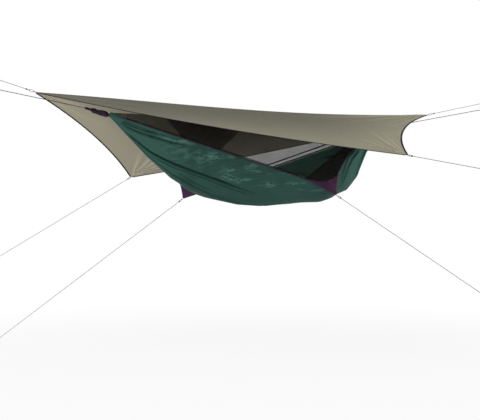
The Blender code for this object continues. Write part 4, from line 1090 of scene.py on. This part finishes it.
ridgeline = []
for sign in (-1, 1):
    inner, outer = wrapEnds(sign)
    lean = (ends["below"] + ridgelineRadius) * (outer.z - inner.z) / abs(outer.x - inner.x)
    ridgeline.append(centre + Vector((sign * (halfRidge - lean - gap), 0, 0)))
sweptPiece("ridgelineCord", cord, "hammock",
           [ridgeline[0].lerp(ridgeline[1], n / 40) for n in range(41)],
           roundSection(ridgelineRadius))
print("nets made")

# Rims, zip and corner patches


def rimTape(name, side, line, finish, width=rims["width"], thickness=rims["thickness"],
            inward=0.0):
    dense = [line[0]]
    for start, end in zip(line, line[1:]):
        count = max(1, round((end - start).length / 0.02))
        dense += [start.lerp(end, n / count) for n in range(1, count + 1)]
    axes = panelAxes(side)
    outs = [axes[0] * (out.x - point.x) + axes[1] * (out.y - point.y)
            for out, point in zip(offsetLine(dense, 1.0), dense)]
    path = [panelPoint(side, point.x, point.y, inward) for point in dense]
    sweptPiece(name, finish, "hammock", path, strapSection(width, thickness), False, outs)


for side, word in ((1, "near"), (-1, "far")):
    short = [point for point in rimLines(side)[1]
             if point.x > panel["patchTop"] + rims["width"]]
    rimTape(word + "ShortBinding", side, short[:-1] + [towards(short[-1], short[-2],
            rims["foot"])], tape)
rimTape("farLongBinding", -1, [farLong[0] + farSlope * rims["farStart"],
                               farLong[1] - farSlope * rims["farEnd"]], greenTape)
edge = [farLong[0] + farSlope * edging["start"], farLong[1] - farSlope * edging["end"]]
rimTape("farNetTape", -1, offsetLine(edge, -edging["inset"]), hemTape, edging["width"],
        edging["thickness"], edging["inward"])

zipper = {"coil": 0.003, "gap": 0.0016, "thick": 0.001, "pitch": 0.0026, "start": 0.03,
          "rimEnd": 0.02, "doorEnd": 0.06}
zipCoil = wovenCord("zipCoil", "black_webbing", colour(0.05, 0.04, 0.055),
                    colour(0.015, 0.012, 0.018), 0.0015)
axes, origin = panelAxes(1), panelPoint(1, -halfRidge, 0)
along = axes[0] * slope.x + axes[1] * slope.y
zipLength = (nearLong[1] - nearLong[0]).length
for word, way, start, end, body, *colours in (
        ("rimZip", 1, zipper["start"], zipLength - zipper["rimEnd"], "hammock",
         colour(0.045, 0.02, 0.052), colour(0.018, 0.008, 0.022), colour(0.08, 0.05, 0.09)),
        ("doorZip", -1, rims["doorStart"], zipLength - zipper["doorEnd"], "net_door",
         colour(0.014, 0.01, 0.015), colour(0.006, 0.004, 0.007), colour(0.03, 0.02, 0.03))):
    across = (-axes[0] * slope.y + axes[1] * slope.x) * way

    def zipPath(count, away):
        return [origin + along * (start + (end - start) * n / count) + across * away
                for n in range(count + 1)]

    finish = tapeFinish(word + "Tape", "purple_tape", *colours, rims["zipTape"], 0.003)
    inner = zipper["gap"] / 2 + zipper["coil"]
    sweptPiece(word + "Tape", finish, body, zipPath(90, (inner + rims["zipTape"]) / 2),
               strapSection(rims["zipTape"] - inner, zipper["thick"]), False, across)
    count = round((end - start) / zipper["pitch"]) * 3
    sweptPiece(word + "Coil", zipCoil, body,
               zipPath(count, (zipper["gap"] + zipper["coil"]) / 2),
               roundSection(zipper["coil"] / 2, 6), False, across,
               lambda v: 0.72 + 0.28 * (round(v * count) % 3 == 1))

patch = {"thickness": 0.0022, "swell": 0.0025, "size": (0.42, 0.09), "columns": 48, "rows": 20}
for side, word in ((1, "near"), (-1, "far")):
    longRim, short = rimLines(side)
    edge = patchEdge(side)
    leg = [point for point in short if point.x < panel["patchTop"] - gap]
    outer = [edge[0] + (longRim[1] - longRim[0]).normalized() * gap]
    outer += offsetLine([longRim[1], short[0]], belly["overlap"]) + [pullOutNose(side)]
    outer += offsetLine(leg + [edge[-1]], belly["overlap"])[1:]

    def patchPoint(u, v):
        spot = pointAt(edge, u).lerp(pointAt(outer, u), v)
        lift = patch["swell"] * math.sin(math.pi * u) * math.sin(math.pi * v)
        return panelPoint(side, spot.x, spot.y, -lift)

    piece = gridPiece(word + "PullPatch", purple, "hammock", patch["columns"], patch["rows"],
                      patchPoint, patch["size"], patch["thickness"], pole)
    word + "PullLoop"
print("rims, zip and patches made")

# Gathered ends

wrap = {"wide": 0.0268, "narrow": 0.0105,
        "profile": [(0.0, 0.45), (0.04, 0.72), (0.12, 0.98), (0.22, 1.0), (0.36, 0.93),
                    (0.47, 0.77), (0.53, 0.75), (0.6, 0.88), (0.66, 0.84), (0.73, 0.62),
                    (0.79, 0.36)],
        "neck": [(0.82, 0.78), (0.97, 0.78), (1.0, 0.6)],
        "whipping": {"from": 0.808, "to": 0.992, "turns": 8, "ring": 0.0094, "radius": 0.0022},
        "flat": {"left": (0.1, 0.2), "right": (0.038, 0.12)}}
# how far the gathered cloth reaches: at its bottom, at the rims and over the top
sleeve = {"left": (0.05, 0.135, 0.03), "right": (0.02, 0.035, 0.038), "mouth": 0.0095,
          "into": 0.006}
wrapTable = [(spot, wrap["wide"] * wide) for spot, wide in wrap["profile"]]
wrapTable += [(spot, wrap["narrow"] * wide) for spot, wide in wrap["neck"]]
for sign, word in ((-1, "left"), (1, "right")):
    inner, outer = wrapEnds(sign)
    axes = acrosses([inner, outer])[0]

    def wrapPoint(u, v):
        turn = math.tau * u
        radius = readAt(wrapTable, v)
        twist = math.sin(3 * turn + 11 * v + math.sin(2 * turn))
        ply = math.sin(8 * turn + 17 * v)
        loose = max(0, min(1, (radius - 0.008) / 0.01))
        radius *= 1 + loose * (0.09 * twist + 0.03 * ply - 0.06)
        # the hollows of the twists get painted shade
        return (inner.lerp(outer, v) + ringed(axes, turn) * radius,
                loose * max(0, -twist - 0.45) * 1.5)

    gridPiece(word + "EndWrap", wrapCloth, "hammock", 72, 72, wrapPoint, (0.16, ends["length"]),
              merge=seam)

    # the knotted cord round the wrap's neck
    cordage = wrap["whipping"]
    path = coiled(axes, inner.lerp(outer, cordage["from"]), inner.lerp(outer, cordage["to"]),
                  cordage["turns"], 14, cordage["ring"])
    sweptPiece(word + "EndWhipping", cord, "hammock", path, roundSection(cordage["radius"], 7))

    def sleevePoint(u, v):
        # the cloth's gathered end, from the bed into the wrap's mouth
        bottom, sides, over = sleeve[word]
        reach = readAt([(0, sides), (0.3, bottom), (0.6, sides), (0.8, over), (1, sides)], u)
        run = (reach + sleeve["into"]) * v - sleeve["into"]
        near, far, low = bedSection(sign * (halfRidge - max(run, sleeve["into"])))
        top = centre.z + 0.0045
        if u < 0.6:
            spot = bellyPoint(near, far, low, u / 0.6)
            turn = math.pi + math.pi * u / 0.6
        else:
            share = abs(u - 0.8) / 0.2
            rim = far if u < 0.8 else near
            spot = Vector((0, rim.y * share ** 0.7, top + (rim.z - top) * share))
            turn = math.pi * (u - 0.6) / 0.4
        spot.x = 0
        away = (spot - Vector((0, low.y, (top + low.z) / 2))).normalized()
        spot += away * (0.0024 - 0.0014 * eased(v, 0.5, 1))
        mouth = Vector((0, math.cos(turn), math.sin(turn))) * sleeve["mouth"]
        mouth.z += inner.z
        ply = math.sin(math.tau * 15 * u) * math.sin(math.pi * min(1, v * 1.6) * 0.5)
        spot = mouth.lerp(spot, eased(run, -0.004, 0.026)) + away * 0.0011 * ply * (1 - v)
        spot.x = centre.x + sign * (halfRidge - run)
        # the hollows of the pleats get painted shade
        return spot, max(0, -ply - 0.3) * (1 - v)

    gather = gridPiece(word + "Gather", green, "hammock", 120, 30, sleevePoint, (0.16, 0.07),
                       0.0009, seam)
    word + "EndWrap"
print("gathered ends made")

# Gear pocket

pocket = {"left": 0.867, "right": 0.051, "apex": 0.504, "depth": 0.43, "top": 0.0038,
          "thickness": 0.0009, "hanger": 0.0008, "inset": 0.02}


def pocketPoint(u, v):
    along = (pocket["left"] - pocket["right"]) * u - pocket["left"]
    span = ((along + pocket["left"]) / (pocket["left"] - pocket["apex"])
            if along < -pocket["apex"]
            else (-pocket["right"] - along) / (pocket["apex"] - pocket["right"]))
    depth = pocket["depth"] * max(span, 0.0) * v
    wave = 0.0012 * math.sin(along * 26) * math.sin(math.pi * v)
    return centre + Vector((along, wave, -pocket["top"] - depth))


pouch = gridPiece("gearPocket", pocketNet, "gear_pocket", 64, 30, pocketPoint, (0.816, 0.43),
                  pocket["thickness"], pole)
for word, spot in (("left", pocket["inset"] - pocket["left"]),
                   ("right", -pocket["right"] - pocket["inset"])):
    middle, ring = centre + Vector((spot, 0, 0)), ridgelineRadius + gap + pocket["hanger"]
    sweptPiece(word + "PocketHanger", cord, "gear_pocket",
               [middle + ringed((up, level), math.tau * n / 20) * ring for n in range(20)],
               roundSection(pocket["hanger"], 6), True)
print("pocket made")

# Metal and plastic pieces that keep their solids

metal = Finish("greyMetal", "grey_metal")
scuff = metal.noise(metal.coords("object"), 900.0, 4.0)
metal.shade(Base_Color=metal.mix(scuff, colour(0.09, 0.09, 0.095), colour(0.16, 0.16, 0.165)),
            Metallic=1.0, Roughness=metal.ranged(scuff, 0.3, 0.7, 0.28, 0.45),
            Normal=metal.bumped(scuff, 0.00006))
plastic = Finish("clearPlastic", "clear_plastic")
cloud = plastic.noise(plastic.coords("object"), 160.0)
plastic.shade(Base_Color=plastic.mix(cloud, colour(0.15, 0.155, 0.16), colour(0.24, 0.245, 0.25)),
              Roughness=plastic.ranged(cloud, 0.3, 0.7, 0.2, 0.34), Coat_Weight=0.4,
              Normal=plastic.bumped(cloud, 0.0001))
for node, finish in (("zip_slider", metal), ("zip_pull", metal), ("left_tarp_clip", plastic),
                     ("right_tarp_clip", plastic)):
    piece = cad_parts[node]
    piece.data.materials.clear()
    piece.data.materials.append(finish.material)
print("metal and plastic finished")

# Floor, sky and lamps

studio = {"middle": (2.7, 0, -0.5), "floor": -2.43, "floorSize": 30, "sky": 0.5,
          "shadow": (2.0, 7.0, 0.88),
          "lamps": [("key", (-1.0, -4.5, 5.0), 3.0, 230), ("fill", (7.5, -3.5, 2.5), 3.5, 40),
                    ("low", (1.0, -6.5, -1.9), 4.0, 150)]}
middle, white = Vector(studio["middle"]), colour(1, 1, 1)

floorMesh = bmesh.new()
bmesh.ops.create_grid(floorMesh, x_segments=1, y_segments=1, size=studio["floorSize"])
bmesh.ops.translate(floorMesh, verts=floorMesh.verts, vec=(middle.x, 0, studio["floor"]))
mesh = bpy.data.meshes.new("floor")
floorMesh.to_mesh(mesh)
floorMesh.free()
floor = bpy.data.objects.new("floor", mesh)
bpy.context.scene.collection.objects.link(floor)
groundMaterial = bpy.data.materials.new("paleFloor")
groundMaterial.use_nodes = True
ground = Shop(groundMaterial.node_tree)
matt = ground.node("ShaderNodeBsdfDiffuse", sockets={0: colour(0.8, 0.8, 0.8)})
glow = ground.node("ShaderNodeEmission", sockets={0: white, 1: 1.0})
x, y, _ = ground.parts(ground.coords("object"))
away = ((x - middle.x) * (x - middle.x) + y * y).maths("SQRT")
near, far, bright = studio["shadow"]
share = ground.node("ShaderNodeLightPath") * ground.ranged(away, near, far, bright, 1.0)
both = ground.node("ShaderNodeMixShader", sockets={0: share, 1: matt, 2: glow})
ground.node("ShaderNodeOutputMaterial", sockets={0: both})
mesh.materials.append(groundMaterial)

world = bpy.data.worlds.new("studio")
bpy.context.scene.world = world
world.use_nodes = True
sky = Shop(world.node_tree)
direct = sky.node("ShaderNodeLightPath")
rays = direct.socket.node.outputs
for kind in ("Is Glossy Ray", "Is Transmission Ray"):
    direct = direct.maths("MAXIMUM", Wire(sky, rays[kind]))
dome, backdrop = (sky.node("ShaderNodeBackground", sockets={0: white, 1: strength})
                  for strength in (studio["sky"], 1.0))
sky.node("ShaderNodeOutputWorld", sockets={0: sky.node(
    "ShaderNodeMixShader", sockets={0: direct, 1: dome, 2: backdrop})})

for name, spot, size, power in studio["lamps"]:
    lamp = bpy.data.lights.new(name, "AREA")
    lamp.energy, lamp.size = power, size
    held = bpy.data.objects.new(name, lamp)
    held.location = spot
    held.rotation_euler = (middle - Vector(spot)).to_track_quat("-Z", "Y").to_euler()
    bpy.context.scene.collection.objects.link(held)
bpy.context.scene.view_settings.view_transform = "Standard"
print("stage made")
